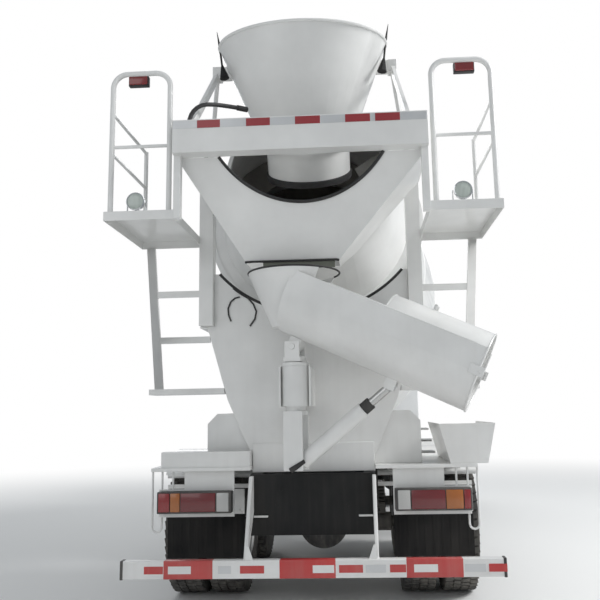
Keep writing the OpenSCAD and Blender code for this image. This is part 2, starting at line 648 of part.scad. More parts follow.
// Front pedestal and the reducer that turns the drum
reducer_r = 230;
head_s = -160;
head_plate_t = 25;
module front_pedestal() color(white_paint) {
    difference() {
        union() {
            in_drum() translate([-372, -330, head_s - head_plate_t]) cube([744, 560, head_plate_t]);
            both_sides() side_plate([370, 390], [[drum_y + 10, sub_z], [sub_front_y, sub_z],
                                                 [drum_y + 300, drum_z + 40], [drum_y + 190, drum_z + 80],
                                                 [drum_y + 90, drum_z - 360]]);
            block([-380, 380], [sub_front_y - 20, sub_front_y - 5], [sub_z, sub_z + 400]);
            block([-380, 380], [drum_y + 30, drum_y + 45], [sub_z, sub_z + 250]);
        }
        in_drum() translate([0, 0, head_s - 100]) cylinder(h = 200, r = reducer_r - 35);
    }
}
module reducer() color(dark_paint) in_drum() difference() {
    union() {
        translate([0, 0, head_s + face_gap]) cylinder(h = -head_s - 30, r = reducer_r);
        translate([0, 0, head_s - 180]) cylinder(h = 181, r = reducer_r - 40);
        translate([0, 0, head_s - 330]) cylinder(h = 160, r = 85);
    }
    translate([0, 0, -stub_len - 5]) cylinder(h = 300, r = stub_r + run_fit);
}

// Front axle: dropped beam between the kingpins, with its leaf springs
yoke_h = 130;
pin_rad = 25;
module front_axle() color(dark_paint) {
    difference() {
        union() {
            rear_plate([axle_y[0] - 50, axle_y[0] + 50],
                mirrored([[0, axle_z - 130], [430, axle_z - 130], [640, axle_z - 60], [kingpin_x - 30, axle_z - 60],
                          [kingpin_x - 30, axle_z + 60], [600, axle_z + 60], [420, axle_z - 10], [0, axle_z - 10]]));
            both_sides() translate([kingpin_x, axle_y[0], axle_z - yoke_h / 2])
                cylinder(h = yoke_h, r = 55);
        }
        both_sides() translate([kingpin_x, axle_y[0], 0]) cylinder(h = 2000, r = pin_rad + run_fit);
    }
    both_sides() {
        block([340, 420], [axle_y[0] - 750, axle_y[0] + 750], [axle_z - 10, axle_z + 60]);
        for (k = [-1, 1]) block([345, 415], [axle_y[0] + k * 700 - 40, axle_y[0] + k * 700 + 40],
                                [axle_z + 59, frame_top - rail_h]);
    }
}

// Knuckles: yoke with the kingpin, spindle and steering arm
ear_t = 40;
spindle_r = 45;
arm_len = 200;
arm_z0 = axle_z - 150;
link_r = 14;
module knuckle(side) color(dark_paint) translate([side * kingpin_x, axle_y[0], axle_z]) {
    for (k = [-1, 1]) translate([0, 0, k * (yoke_h / 2 + ear_t / 2 + face_gap) - ear_t / 2])
        cylinder(h = ear_t, r = 52);
    translate([0, 0, -yoke_h / 2 - ear_t]) cylinder(h = yoke_h + 2 * ear_t, r = pin_rad);
    mirror([side < 0 ? 1 : 0, 0, 0]) {
        for (k = [-1, 1]) block([0, 90], [-50, 50], k > 0 ? [yoke_h / 2 + face_gap, yoke_h / 2 + face_gap + ear_t]
                                : [-yoke_h / 2 - face_gap - ear_t, -yoke_h / 2 - face_gap]);
        block([62, 100], [-60, 60], [-yoke_h / 2 - ear_t, yoke_h / 2 + ear_t]);
        translate([99, 0, 0]) rotate([0, 90, 0])
            cylinder(h = front_track_x - kingpin_x - 99 + 60, r = spindle_r);
        difference() {
            block([-25, 25], [-arm_len - 30, -40], [-yoke_h / 2 - ear_t, -yoke_h / 2 - face_gap - 5]);
            translate([0, -arm_len, -300]) cylinder(h = 600, r = link_r + (side < 0 ? run_fit : 1));
        }
    }
}
module knuckle_left() knuckle(-1);
module knuckle_right() knuckle(1);
module tie_rod() color(dark_paint) translate([0, axle_y[0] - arm_len, axle_z - yoke_h / 2 - ear_t - 30]) {
    rod([-kingpin_x, 0, 0], [kingpin_x, 0, 0], 18);
    both_sides() translate([kingpin_x, 0, -20]) {
        cylinder(h = 50 - face_gap, r = 27);
        cylinder(h = 50 + ear_t - 10, r = link_r);
    }
}

// Rear bogie: two drive axles, leaf springs and the trunnion between them
module rear_bogie() color(dark_paint) {
    for (y = [axle_y[1], axle_y[2]]) {
        rod([-rear_track_x - 100, y, axle_z], [rear_track_x + 100, y, axle_z], spindle_r);
        rod([-rear_track_x + 360, y, axle_z], [rear_track_x - 360, y, axle_z], 75);
        translate([0, y, axle_z]) rotate([-90, 0, 0]) {
            translate([0, 0, -110]) cylinder(h = 40, r1 = 120, r2 = 205);
            translate([0, 0, -70]) cylinder(h = 130, r = 205);
            translate([0, 0, 60]) cylinder(h = 220, r1 = 160, r2 = 90);
        }
    }
    both_sides() {
        block([rail_out + 15, rail_out + 95], [axle_y[2] - 60, axle_y[1] + 60], [axle_z + 70, axle_z + 150]);
        translate([rail_out - 60, (axle_y[1] + axle_y[2]) / 2, axle_z + 110]) rotate([0, 90, 0])
            cylinder(h = 155, r = 70);
        block([rail_out - 60, rail_out], (axle_y[1] + axle_y[2]) / 2 * [1, 1] + [-150, 150],
              [axle_z + 60, frame_top - rail_h]);
    }
}

// Wheels. Tyre outline as (y, x) half section; rim with disc and hub
module tyre(x) translate([x, 0, 0]) rotate([0, 90, 0]) rotate_extrude($fn = 64) polygon([
    [rim_r, -tyre_w / 2 + 20], [rim_r + 60, -tyre_w / 2], [tyre_r - 50, -tyre_w / 2 + 5],
    [tyre_r - 8, -tyre_w / 2 + 25], [tyre_r, 0 - tyre_w / 4], [tyre_r, tyre_w / 4],
    [tyre_r - 8, tyre_w / 2 - 25], [tyre_r - 50, tyre_w / 2 - 5], [rim_r + 60, tyre_w / 2],
    [rim_r, tyre_w / 2 - 20]]);
hand_holes = 8;
hand_hole_at = 205;
hand_hole_r = 27;
module rim(x, dish) translate([x, 0, 0]) rotate([0, 90, 0]) difference() {
    union() {
        rotate_extrude($fn = 64) {
            translate([rim_r - 12, -tyre_w / 2 + 22]) square([12 - face_gap, tyre_w - 44]);
            translate([60, dish - 8]) square([rim_r - 65, 16]);
        }
        translate([0, 0, dish - 60]) cylinder(h = 120, r = 110);
    }
    translate([0, 0, -500]) cylinder(h = 1000, r = spindle_r + run_fit);
    for (a = [0:360 / hand_holes:359]) rotate([0, 0, a]) translate([hand_hole_at, 0, dish - 20])
        cylinder(h = 40, r = hand_hole_r);
}
module front_rim(side) color(steel) translate([0, axle_y[0], axle_z]) mirror([side < 0 ? 1 : 0, 0, 0])
    rim(front_track_x, 0);
module front_tyre(side) color(black_rubber) translate([0, axle_y[0], axle_z]) tyre(side * front_track_x);
module twin_rims(side, y) color(steel) translate([0, y, axle_z]) mirror([side < 0 ? 1 : 0, 0, 0]) {
    rim(rear_track_x - twin_spacing / 2, tyre_w / 2 - 40);
    rim(rear_track_x + twin_spacing / 2, 40 - tyre_w / 2);
    difference() {
        translate([rear_track_x - 25, 0, 0]) rotate([0, 90, 0]) cylinder(h = 50, r = 100);
        translate([0, 0, 0]) rotate([0, 90, 0]) cylinder(h = 3000, r = spindle_r + run_fit);
    }
}
module twin_tyres(side, y) color(black_rubber) translate([0, y, axle_z])
    for (k = [-1, 1]) tyre(side * (rear_track_x + k * twin_spacing / 2));
module rim_front_left() front_rim(-1);
module rim_front_right() front_rim(1);
module tyre_front_left() front_tyre(-1);
module tyre_front_right() front_tyre(1);
module rims_mid_left() twin_rims(-1, axle_y[1]);
module rims_mid_right() twin_rims(1, axle_y[1]);
module tyres_mid_left() twin_tyres(-1, axle_y[1]);
module tyres_mid_right() twin_tyres(1, axle_y[1]);
module rims_rear_left() twin_rims(-1, axle_y[2]);
module rims_rear_right() twin_rims(1, axle_y[2]);
module tyres_rear_left() twin_tyres(-1, axle_y[2]);
module tyres_rear_right() twin_tyres(1, axle_y[2]);

// Engine block, gearbox, radiator, muffler and the shafts to the axles
module powertrain() color(dark_paint) {
    block([-330, 330], [axle_y[0] - 100, axle_y[0] + 900], [frame_top - 290, frame_top + 150]);
    for (y = [axle_y[0] - 60, axle_y[0] + 800]) both_sides()
        block([329, rail_out - rail_t], [y - 40, y + 40], [frame_top - 180, frame_top - 110]);
    block([-220, 220], [axle_y[0] - 700, axle_y[0] - 99], [frame_top - 280, frame_top + 60]);
    rod([0, axle_y[0] - 699, frame_top - 180], [0, axle_y[1] + 290, axle_z], 50);
    rod([0, axle_y[1] - 110, axle_z], [0, axle_y[2] + 280, axle_z], 45);
}

// Bumper with the lower grille and the steps below the doors
bumper_top = cab_floor_z - 150;
module bumper() color(cab_paint) {
    difference() {
        block([-cab_w / 2, cab_w / 2], [front_y - 100, front_y], [480, 900]);
        both_sides() block([780, 1080], [front_y - 40, front_y + 1], [600, 780]);
        block([tow_x - 70, tow_x + 70], [front_y - 101, front_y + 1], [tow_z - 60, tow_z + 60]);
    }
    difference() {
        block([-900, 900], [front_y - 95, front_y - 55], [899, bumper_top]);
        block([tow_x - 45, tow_x + 45], [front_y - 101, front_y + 1], [890, bumper_top + 1]);
    }
    both_sides() {
        // bearing of the cab's tilt pin
        difference() {
            side_plate([rail_out - tilt_bearing_w - 5, rail_out - 5],
                       [for (q = [[-35, frame_top - 61 - tilt_z], [35, frame_top - 61 - tilt_z], [35, 0], [28, 16],
                                  [14, 28], [-14, 28], [-28, 16], [-35, 0]]) q + [tilt_y, tilt_z]]);
            translate([0, tilt_y, tilt_z]) rotate([0, 90, 0]) cylinder(h = rail_out + 10, r = tilt_pin_r + run_fit);
        }
        difference() {
            block([cab_w / 2 - 260, cab_w / 2], [axle_y[0] + 740, front_y - 99], [480, bumper_top - 20]);
            for (z = [520, 800]) block([cab_w / 2 - 200, cab_w / 2 + 1], [axle_y[0] + 800, front_y - 260],
                                       [z, z + 240]);
        }
        block([rail_out - 50, rail_out], [frame_front_y, front_y - 99], [frame_top - 250, frame_top - 60]);
    }
}
module headlamps() color([0.9, 0.92, 0.93]) both_sides()
    block([780 + face_gap, 1080 - face_gap], [front_y - 40 + face_gap, front_y - 4],
          [600 + face_gap, 780 - face_gap]);

// Tank on the left rail, boxes on the right one
module fuel_tank() color("silver") {
    difference() {
        translate([-1160, axle_y[0] - 1900, 500]) cube([640, 900, 520]);
    }
    for (y = [axle_y[0] - 1750, axle_y[0] - 1150]) block([-521, -rail_out], [y - 30, y + 30], [780, 1000]);
}
module chassis_boxes() color(dark_paint) {
    block([560, 1140], [axle_y[0] - 1500, axle_y[0] - 900], [560, 1000]);
    block([rail_out, 561], [axle_y[0] - 1300, axle_y[0] - 1100], [780, 1000]);
    for (z = [620, 880]) rod([700, axle_y[0] - 2500, z], [700, axle_y[0] - 1700, z], 125);
    for (y = [axle_y[0] - 2300, axle_y[0] - 1900]) block([rail_out, 701], [y - 20, y + 20], [600, 1000]);
}
tank_r = 250;
tank_y = cab_y[0] - tank_r - 10;
module water_tank() color(white_paint) {
    rod([-1190, tank_y, sub_z + tank_r + 80], [-480, tank_y, sub_z + tank_r + 80], tank_r);
    for (x = [-640, -980]) block([x - 20, x + 20], [tank_y - 100, tank_y + 100], [sub_z - 40, sub_z + 120]);
    block([-1000, -rail_out], [tank_y - 100, tank_y + 100], [sub_z - 60, sub_z - 20]);
}
module side_guards() color(white_paint) both_sides() {
    for (z = [560, 860]) block([1190, 1220], [axle_y[1] + 700, axle_y[0] - 1950 - (z > 0 ? 0 : 0)], [z, z + 100]);
    for (y = [axle_y[1] + 760]) {
        block([1160, 1191], [y - 30, y + 30], [560, 1010]);
        block([rail_out, 1191], [y - 30, y + 30], [950, 1010]);
    }
}

// Fenders over the twin wheels, rear walkway and lamp panels
fender_r = 620;
fender_t = 6;
fender_x = [frame_w / 2 + 110, 1240];
shelf_z = [1076, 1100];
shelf_x = 1105;
lamp_y = frame_rear_y + 25;
lamp_x = [550, 1055];
lamp_z = [800, 945];
loop_x = 1042;
loop_r = 33;
loop_z = 670;
loop_tube_r = 7.5;
flap_in = 560;
flap_out = 1150;
flap_top = 900;
flap_y = [axle_y[2] - 690, axle_y[2] - 680];
module fenders() color(white_paint) {
    both_sides() {
        difference() {
            for (y = [axle_y[1], axle_y[2]]) translate([fender_x[0], y, axle_z]) rotate([0, 90, 0])
                cylinder(h = fender_x[1] - fender_x[0], r = fender_r, $fn = 64);
            for (y = [axle_y[1], axle_y[2]]) translate([0, y, axle_z]) rotate([0, 90, 0])
                cylinder(h = 3000, r = fender_r - fender_t, $fn = 64);
            block([0, 3000], [rear_y, front_y], [-200, 980]);
        }
        for (y = [axle_y[1], axle_y[2]], k = [-1, 1])
            translate([rail_out, y + k * (fender_r - fender_t / 2) * cos(45), axle_z + (fender_r - fender_t / 2) * sin(45)])
                rotate([0, 90, 0]) cylinder(h = fender_x[1] - rail_out - 20, r = 22);
        block([rail_out, shelf_x], [frame_rear_y - 20, axle_y[2] - 330], shelf_z);
        // bracket between the walkway and the rear fender
        block([shelf_x - 60, shelf_x], [axle_y[2] - 440, axle_y[2] - 380], [axle_z + 445, shelf_z[0] + 1]);
        rear_plate([lamp_y, lamp_y + 8], [[540, lamp_z[0] - 30], [lamp_x[1] + 5, lamp_z[0] - 30],
            [lamp_x[1] + 5, lamp_z[1] + 10], [lamp_x[1] - 170, lamp_z[1] + 10], [lamp_x[1] - 170, shelf_z[0] + 1],
            [540, shelf_z[0] + 1]]);
        // tubes that hold the lamps
        tube(concat([[loop_x, lamp_y + 12, shelf_z[0] + 1]],
                    [for (a = [180:30:360]) [loop_x + loop_r * (1 + cos(a)), lamp_y + 12, loop_z + loop_r * (1 + sin(a))]],
                    [[loop_x + 2 * loop_r, lamp_y + 12, shelf_z[0] + 1]]), loop_tube_r, 8);
        translate([loop_x - 75, lamp_y + 12, lamp_z[0] - 20]) cylinder(h = shelf_z[0] + 1 - lamp_z[0] + 20, r = loop_tube_r);
        // bar that holds the mud flap
        block([rail_out, flap_out], flap_y + [-6, 6], [flap_top, flap_top + 30]);
    }
    // flat box on the left walkway
    block([-1040, -rail_out - 3], [frame_rear_y - 10, pedestal_rear_y - face_gap], [shelf_z[1] - 1, shelf_z[1] + 105]);
}
module mud_flaps() color(black_rubber) both_sides()
    block([flap_in, flap_out], flap_y, [390, flap_top - face_gap]);
module tail_lamps() color([0.6, 0.1, 0.08]) both_sides()
    block(lamp_x, [lamp_y - 70, lamp_y - face_gap], lamp_z);
module underrun_bar() color("white") {
    block([-1200, 1200], [bar_y, bar_y + 60], [445, 555]);
    both_sides() side_plate([400, 425], [[bar_y + 30, 450], [bar_y + 59, 450], [bar_y + 59, 560],
        [frame_rear_y - rail_t, 800], [frame_rear_y - rail_t, frame_top - 10], [frame_rear_y - 70, frame_top - 10],
        [bar_y + 20, 555]]);
}
module spare_chute() color(white_paint) {
    outline = [[930, shelf_z[1]], [1180, shelf_z[1]], [1240, shelf_z[1] + 265], [860, shelf_z[1] + 265]];
    difference() {
        rear_plate([rear_y + 715, rear_y + 1500], outline);
        rear_plate([rear_y + 721, rear_y + 1501], [for (q = outline) [q[0] + (q[0] < 1000 ? 6 : -6),
                                                                    q[1] + (q[1] > shelf_z[1] ? 1 : 6)]]);
    }
}

// Cab: hollow shell. Side view as (y, z)
screen_low = 1960;
cab_side = [[cab_y[0], cab_floor_z], [cab_y[1], cab_floor_z], [cab_y[1], screen_low - 300],
            [cab_y[1] - 20, screen_low], [cab_y[1] - 230, cab_roof_z - 70], [cab_y[1] - 400, cab_roof_z],
            [cab_y[0] + 100, cab_roof_z], [cab_y[0], cab_roof_z - 70]];
cab_inside = [[cab_y[0] + cab_t, cab_floor_z + cab_t], [cab_y[1] - cab_t, cab_floor_z + cab_t],
              [cab_y[1] - cab_t, screen_low - 300], [cab_y[1] - 20 - cab_t, screen_low],
              [cab_y[1] - 230 - cab_t, cab_roof_z - 70 - cab_t / 2], [cab_y[1] - 410, cab_roof_z - cab_t],
              [cab_y[0] + 100, cab_roof_z - cab_t], [cab_y[0] + cab_t, cab_roof_z - 80]];
door_y = [cab_y[1] - 1130, cab_y[1] - 130];
door_side = [[door_y[0], cab_floor_z + 60], [door_y[1], cab_floor_z + 60], [door_y[1], screen_low],
             [door_y[1] - 190, cab_roof_z - 130], [door_y[0], cab_roof_z - 130]];
window_side = [[door_y[0] + 70, screen_low - 60], [door_y[1] - 90, screen_low - 60], [door_y[1] - 80, screen_low],
               [door_y[1] - 240, cab_roof_z - 200], [door_y[0] + 70, cab_roof_z - 200]];
flap_x = 700;
flap_z = [cab_floor_z + 80, screen_low - 110];
// Tilt pins of the cab, in bearings on the bumper's brackets
tilt_y = cab_y[1] - 100;
tilt_z = cab_floor_z - 40;
tilt_pin_r = 15;
tilt_bearing_w = 40;
tilt_lug_t = 20;
// Door hinges: two barrels and the pin on the pillar, one barrel on the door
door_pin_r = 8;
door_barrel_r = 13;
door_barrel_h = 30;
door_hinge_z = [1420, 1830];
door_axis = [cab_w / 2 + 14, door_y[1] + door_gap / 2];
leaf_t = 7;
leaf_len = 46;
module door_barrel(z, h, way) {
    translate([door_axis.x, door_axis.y, z]) cylinder(h = h, r = door_barrel_r);
    block([cab_w / 2 - 1, cab_w / 2 + leaf_t], way > 0 ? [door_axis.y, door_axis.y + leaf_len]
          : [door_axis.y - leaf_len, door_axis.y], [z + 1, z + h - 1]);
}
// Flap hinges: barrels above the flap, the middle one on the flap
flap_pin_r = 3;
flap_barrel_r = 9;
flap_barrel_w = 30;
flap_axis = [cab_y[1] + 3, flap_z[1] + door_gap + 10];
flap_hinge_x = 500;
module flap_barrel(x, w, drop) {
    translate([x, flap_axis.x, flap_axis.y]) rotate([0, 90, 0]) cylinder(h = w, r = flap_barrel_r);
    if (drop) block([x + 1, x + w - 1], [flap_axis.x - 10, flap_axis.x], [flap_z[1] - 20, flap_axis.y]);
    else block([x + 1, x + w - 1], [cab_y[1] - 25, flap_axis.x], [flap_axis.y - 6, flap_axis.y + 6]);
}
module cab_shell() color(cab_paint) {
    difference() {
        side_plate([-cab_w / 2, cab_w / 2], cab_side);
        side_plate([-cab_w / 2 + cab_t, cab_w / 2 - cab_t], cab_inside);
        both_sides() side_plate([cab_w / 2 - cab_t - 1, cab_w / 2 + 1],
            [[door_y[0] - door_gap, cab_floor_z + 60 - door_gap], [door_y[1] + door_gap, cab_floor_z + 60 - door_gap],
             [door_y[1] + door_gap, screen_low], [door_y[1] - 190 + door_gap, cab_roof_z - 130 + door_gap],
             [door_y[0] - door_gap, cab_roof_z - 130 + door_gap]]);
        // windscreen
        block([-cab_w / 2 + 120, cab_w / 2 - 120], [cab_y[1] - 400, cab_y[1] + 10],
              [screen_low + 40, cab_roof_z - 130]);
        // opening behind the grille flap
        block([-flap_x - door_gap, flap_x + door_gap], [cab_y[1] - 20, cab_y[1] + 1],
              [flap_z[0] - door_gap, flap_z[1] + door_gap]);
    }
    both_sides() {
        side_plate([rail_out - 5 + face_gap, rail_out - 5 + face_gap + tilt_lug_t],
                   [for (q = [[-34, cab_floor_z + 1 - tilt_z], [-26, -8], [-14, -24], [14, -24], [26, -8],
                              [34, cab_floor_z + 1 - tilt_z]]) q + [tilt_y, tilt_z]]);
        translate([rail_out - tilt_bearing_w - 10, tilt_y, tilt_z]) rotate([0, 90, 0])
            cylinder(h = tilt_bearing_w + 15, r = tilt_pin_r);
        for (z = door_hinge_z) {
            for (k = [0, 2]) door_barrel(z + k * door_barrel_h, door_barrel_h, 1);
            translate([door_axis.x, door_axis.y, z + 1]) cylinder(h = 3 * door_barrel_h - 2, r = door_pin_r);
        }
        for (k = [-1.5, 0.5]) flap_barrel(flap_hinge_x + k * flap_barrel_w, flap_barrel_w, false);
        translate([flap_hinge_x - 1.5 * flap_barrel_w + 1, flap_axis.x, flap_axis.y]) rotate([0, 90, 0])
            cylinder(h = 3 * flap_barrel_w - 2, r = flap_pin_r);
    }
}
module cab_glass() color(glass) intersection() {
    difference() {
        side_plate([-cab_w / 2 + 121, cab_w / 2 - 121], cab_side);
        side_plate([-cab_w / 2, cab_w / 2], [for (p = cab_side) [p[0] - 8, p[1] - 8]]);
    }
    block([-cab_w / 2 + 120 + face_gap, cab_w / 2 - 120 - face_gap], [cab_y[1] - 400, cab_y[1] + 10],
          [screen_low + 40 + face_gap, cab_roof_z - 130 - face_gap]);
}
dash_z = cab_floor_z + 650;
module cab_interior() color([0.25, 0.26, 0.28]) {
    for (x = [-600, 600]) {
        block([x - 250, x + 250], [cab_y[1] - 1250, cab_y[1] - 750], [cab_floor_z + cab_t, cab_floor_z + 480]);
        block([x - 250, x + 250], [cab_y[1] - 1350, cab_y[1] - 1230], [cab_floor_z + 300, cab_floor_z + 1100]);
    }
    // dashboard that follows the front panel's inside
    wall_y = cab_y[1] - cab_t - face_gap;
    side_plate([-cab_w / 2 + cab_t + 8, cab_w / 2 - cab_t - 8],
               [[cab_y[1] - 330, cab_floor_z + 300], [wall_y, cab_floor_z + 300], [wall_y, screen_low - 300],
                [wall_y - 20 * (dash_z - screen_low + 300) / 300 - 1, dash_z], [cab_y[1] - 330, dash_z],
                [cab_y[1] - 400, dash_z - 60], [cab_y[1] - 400, cab_floor_z + 360]]);
}
mirror_z = [screen_low - 10, screen_low + 440];
module mirrors() color(dark_paint) both_sides() {
    block([cab_w / 2 + 40, cab_w / 2 + 230], [cab_y[1] - 105, cab_y[1] - 45], mirror_z);
    // arms on the windscreen pillar; columns: distance behind the cab's front, height
    for (arm = [[75, mirror_z[0] + 25], [135, mirror_z[1] - 125]])
        block([cab_w / 2, cab_w / 2 + 60], [cab_y[1] - arm[0] - 15, cab_y[1] - arm[0] + 15], [arm[1], arm[1] + 25]);
}
module door(side) mirror([side < 0 ? 1 : 0, 0, 0]) color(cab_paint) difference() {
    union() {
        side_plate([cab_w / 2 - cab_t, cab_w / 2], door_side);
        for (z = door_hinge_z) door_barrel(z + door_barrel_h + face_gap, door_barrel_h - 2 * face_gap, -1);
    }
    side_plate([cab_w / 2 - cab_t - 1, cab_w / 2 + 1], window_side);
    for (z = door_hinge_z) translate([door_axis.x, door_axis.y, z]) cylinder(h = 3 * door_barrel_h, r = door_pin_r + run_fit);
}
module door_left() door(-1);
module door_right() door(1);
module door_glass(side) mirror([side < 0 ? 1 : 0, 0, 0]) color(glass)
    side_plate([cab_w / 2 - 24, cab_w / 2 - 18], window_side);
module door_glass_left() door_glass(-1);
module door_glass_right() door_glass(1);
module grille_flap() color(dark_paint) difference() {
    union() {
        block([-flap_x, flap_x], [cab_y[1] - 20 + face_gap, cab_y[1]], flap_z);
        both_sides() flap_barrel(flap_hinge_x - flap_barrel_w / 2 + face_gap, flap_barrel_w - 2 * face_gap, true);
    }
    translate([-flap_x, flap_axis.x, flap_axis.y]) rotate([0, 90, 0]) cylinder(h = 2 * flap_x, r = flap_pin_r + run_fit);
}

frame();
subframe();
front_axle();
rear_bogie();
powertrain();
bumper();
headlamps();
fuel_tank();
chassis_boxes();
water_tank();
side_guards();
fenders();
mud_flaps();
tail_lamps();
underrun_bar();
front_pedestal();
reducer();
rear_pedestal();
discharge_funnel();
hopper();
platforms();
railings();
upper_lamps();
spare_chute();
water_hose();
grease_hoses();
cab_shell();
cab_glass();
cab_interior();
mirrors();
door_left();
door_right();
door_glass_left();
door_glass_right();
grille_flap();
knuckle_left();
knuckle_right();
tie_rod();
rim_front_left();
tyre_front_left();
rim_front_right();
tyre_front_right();
rims_mid_left();
tyres_mid_left();
rims_mid_right();
tyres_mid_right();
rims_rear_left();
tyres_rear_left();
rims_rear_right();
tyres_rear_right();
drum();
drum_blades();
roller_left();
roller_right();
chute_post();
chute();
chute_extension();
jack_tube();
jack_rod();
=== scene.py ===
"""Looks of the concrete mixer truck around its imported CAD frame. Metres, X to the truck's right, Y forward, Z up."""
import json
from math import cos, pi, radians, sin, tau
import bmesh
import bpy
from mathutils import Matrix, Vector


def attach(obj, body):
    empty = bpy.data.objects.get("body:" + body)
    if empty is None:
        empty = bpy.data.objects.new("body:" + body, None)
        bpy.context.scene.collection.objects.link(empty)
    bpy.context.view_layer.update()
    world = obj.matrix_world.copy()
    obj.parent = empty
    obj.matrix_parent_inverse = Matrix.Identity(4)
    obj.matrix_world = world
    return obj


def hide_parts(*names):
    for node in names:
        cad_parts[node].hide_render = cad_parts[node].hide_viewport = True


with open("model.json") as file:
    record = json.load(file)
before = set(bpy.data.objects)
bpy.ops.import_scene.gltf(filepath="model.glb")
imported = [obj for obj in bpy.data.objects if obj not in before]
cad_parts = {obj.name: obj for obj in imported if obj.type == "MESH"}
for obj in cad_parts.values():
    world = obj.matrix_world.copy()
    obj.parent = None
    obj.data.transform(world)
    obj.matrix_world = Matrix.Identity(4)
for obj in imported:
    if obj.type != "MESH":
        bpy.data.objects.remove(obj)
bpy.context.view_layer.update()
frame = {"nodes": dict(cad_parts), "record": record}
body_of = {node: body for body, members in frame["record"]["behaviour"]["bodies"].items() for node in members}
scene = bpy.context.scene


def show(name, data):
    """An object of the scene with the given mesh, lamp or camera."""
    made = bpy.data.objects.new(name, data)
    scene.collection.objects.link(made)
    return made


def fill(tree, node, sockets):
    """Sets a node's sockets to numbers or colours, or links them to other nodes' outputs."""
    for key, value in sockets.items():
        if isinstance(value, (int, float, tuple)):
            node.inputs[key].default_value = value
        else:
            tree.links.new(value, node.inputs[key])
    return node


def shader_node(tree, kind, sockets=(), **settings):
    """A new shader node of a kind, with its settings made and its sockets filled."""
    node = tree.nodes.new("ShaderNode" + kind)
    for title, value in settings.items():
        setattr(node, title, value)
    return fill(tree, node, dict(sockets))


def new_material(name):
    """An empty material with its node tree, its shader and the object's own coordinates."""
    made = bpy.data.materials.new(name)
    made.use_nodes = True
    tree = made.node_tree
    return made, tree, tree.nodes["Principled BSDF"], shader_node(tree, "TexCoord").outputs["Object"]


def math_node(tree, operation, a, b, clamp=False):
    return shader_node(tree, "Math", {0: a, 1: b}, operation=operation, use_clamp=clamp).outputs[0]


def noise_node(tree, vector, scale, detail=3.0, stretch=(1, 1, 1)):
    mapping = shader_node(tree, "Mapping", {"Scale": stretch, "Vector": vector})
    return shader_node(tree, "TexNoise", {"Scale": scale, "Detail": detail,
                                          "Vector": mapping.outputs[0]}).outputs["Fac"]


def mix_colours(tree, factor, a, b):
    return shader_node(tree, "Mix", {0: factor, 6: a, 7: b}, data_type="RGBA").outputs[2]


def ramp_value(tree, value, low, high, to_low=0.0, to_high=1.0, **settings):
    return shader_node(tree, "MapRange", {"Value": value, "From Min": low, "From Max": high, "To Min": to_low,
                                          "To Max": to_high}, **settings).outputs["Result"]


def bump_normal(tree, height, strength, distance):
    return shader_node(tree, "Bump", {"Strength": strength, "Distance": distance, "Height": height}).outputs["Normal"]


def camera_mix(tree, factor, near, far, end):
    """Blends two shaders into the tree's end; the far one shows by the factor."""
    tree.links.new(shader_node(tree, "MixShader", {0: factor, 1: near, 2: far}).outputs[0], end.inputs["Surface"])


# Camera: a person's eye behind the truck, a little to the right of its middle, looking
# slightly up at the hopper.
camera_data = bpy.data.cameras.new("camera")
camera_data.lens = 42.0
camera_data.sensor_width = 36.0
camera_data.shift_x = -0.0382
camera = show("camera", camera_data)
camera.location = (0.337, -8.455, 1.473)
camera.rotation_euler = (Matrix.Rotation(radians(2.89), 3, "Z") @ Matrix.Rotation(radians(90 + 8.92), 3, "X")
                         @ Matrix.Rotation(radians(-1.14), 3, "Z")).to_euler()
scene.camera = camera

# Floor and daylight: one pale floor that fades to white, a plain pale sky all round, a soft lamp
# high on the right for the sun's side, a wide one in front and a weaker one behind the camera.
scene.view_settings.view_transform = "Standard"
scene.world = bpy.data.worlds.new("sky")
scene.world.use_nodes = True
sky = scene.world.node_tree
sky_light = fill(sky, sky.nodes["Background"], {"Color": (0.9, 0.95, 1.0, 1), "Strength": 0.46})
camera_mix(sky, shader_node(sky, "LightPath").outputs["Is Camera Ray"], sky_light.outputs[0],
           shader_node(sky, "Background", {"Color": (1, 1, 1, 1)}).outputs[0], sky.nodes["World Output"])
for name, spot, aim, size, power in (("sun_side_lamp", (10, -4.5, 9), (0, -1, 1.5), 4, 1250),
                                     ("front_lamp", (-3, 12, 9), (0, 0, 1.5), 9, 600),
                                     ("rear_fill_lamp", (-6, -13, 6), (0, -3, 1.8), 8, 170)):
    lamp_data = bpy.data.lights.new(name, "AREA")
    lamp_data.size, lamp_data.energy = size, power
    lamp = show(name, lamp_data)
    lamp.location = spot
    lamp.rotation_euler = (Vector(aim) - Vector(spot)).to_track_quat("-Z", "Y").to_euler()
floor_bm = bmesh.new()
bmesh.ops.create_grid(floor_bm, x_segments=1, y_segments=1, size=60)
floor_mesh = bpy.data.meshes.new("floor")
floor_bm.to_mesh(floor_mesh)
floor_bm.free()
floor_paint, ground, floor_shader, floor_place = new_material("pale_floor")
fill(ground, floor_shader, {"Base Color": (0.8, 0.8, 0.79, 1), "Roughness": 0.9})
floor_reach = shader_node(ground, "VectorMath", {0: floor_place}, operation="LENGTH").outputs["Value"]
floor_fade = ramp_value(ground, floor_reach, 5.0, 14.0, interpolation_type="SMOOTHSTEP")
floor_seen = math_node(ground, "MULTIPLY", floor_fade, shader_node(ground, "LightPath").outputs["Is Camera Ray"])
camera_mix(ground, floor_seen, floor_shader.outputs[0], shader_node(ground, "Emission").outputs[0],
           ground.nodes["Material Output"])
floor_mesh.materials.append(floor_paint)
show("floor", floor_mesh)


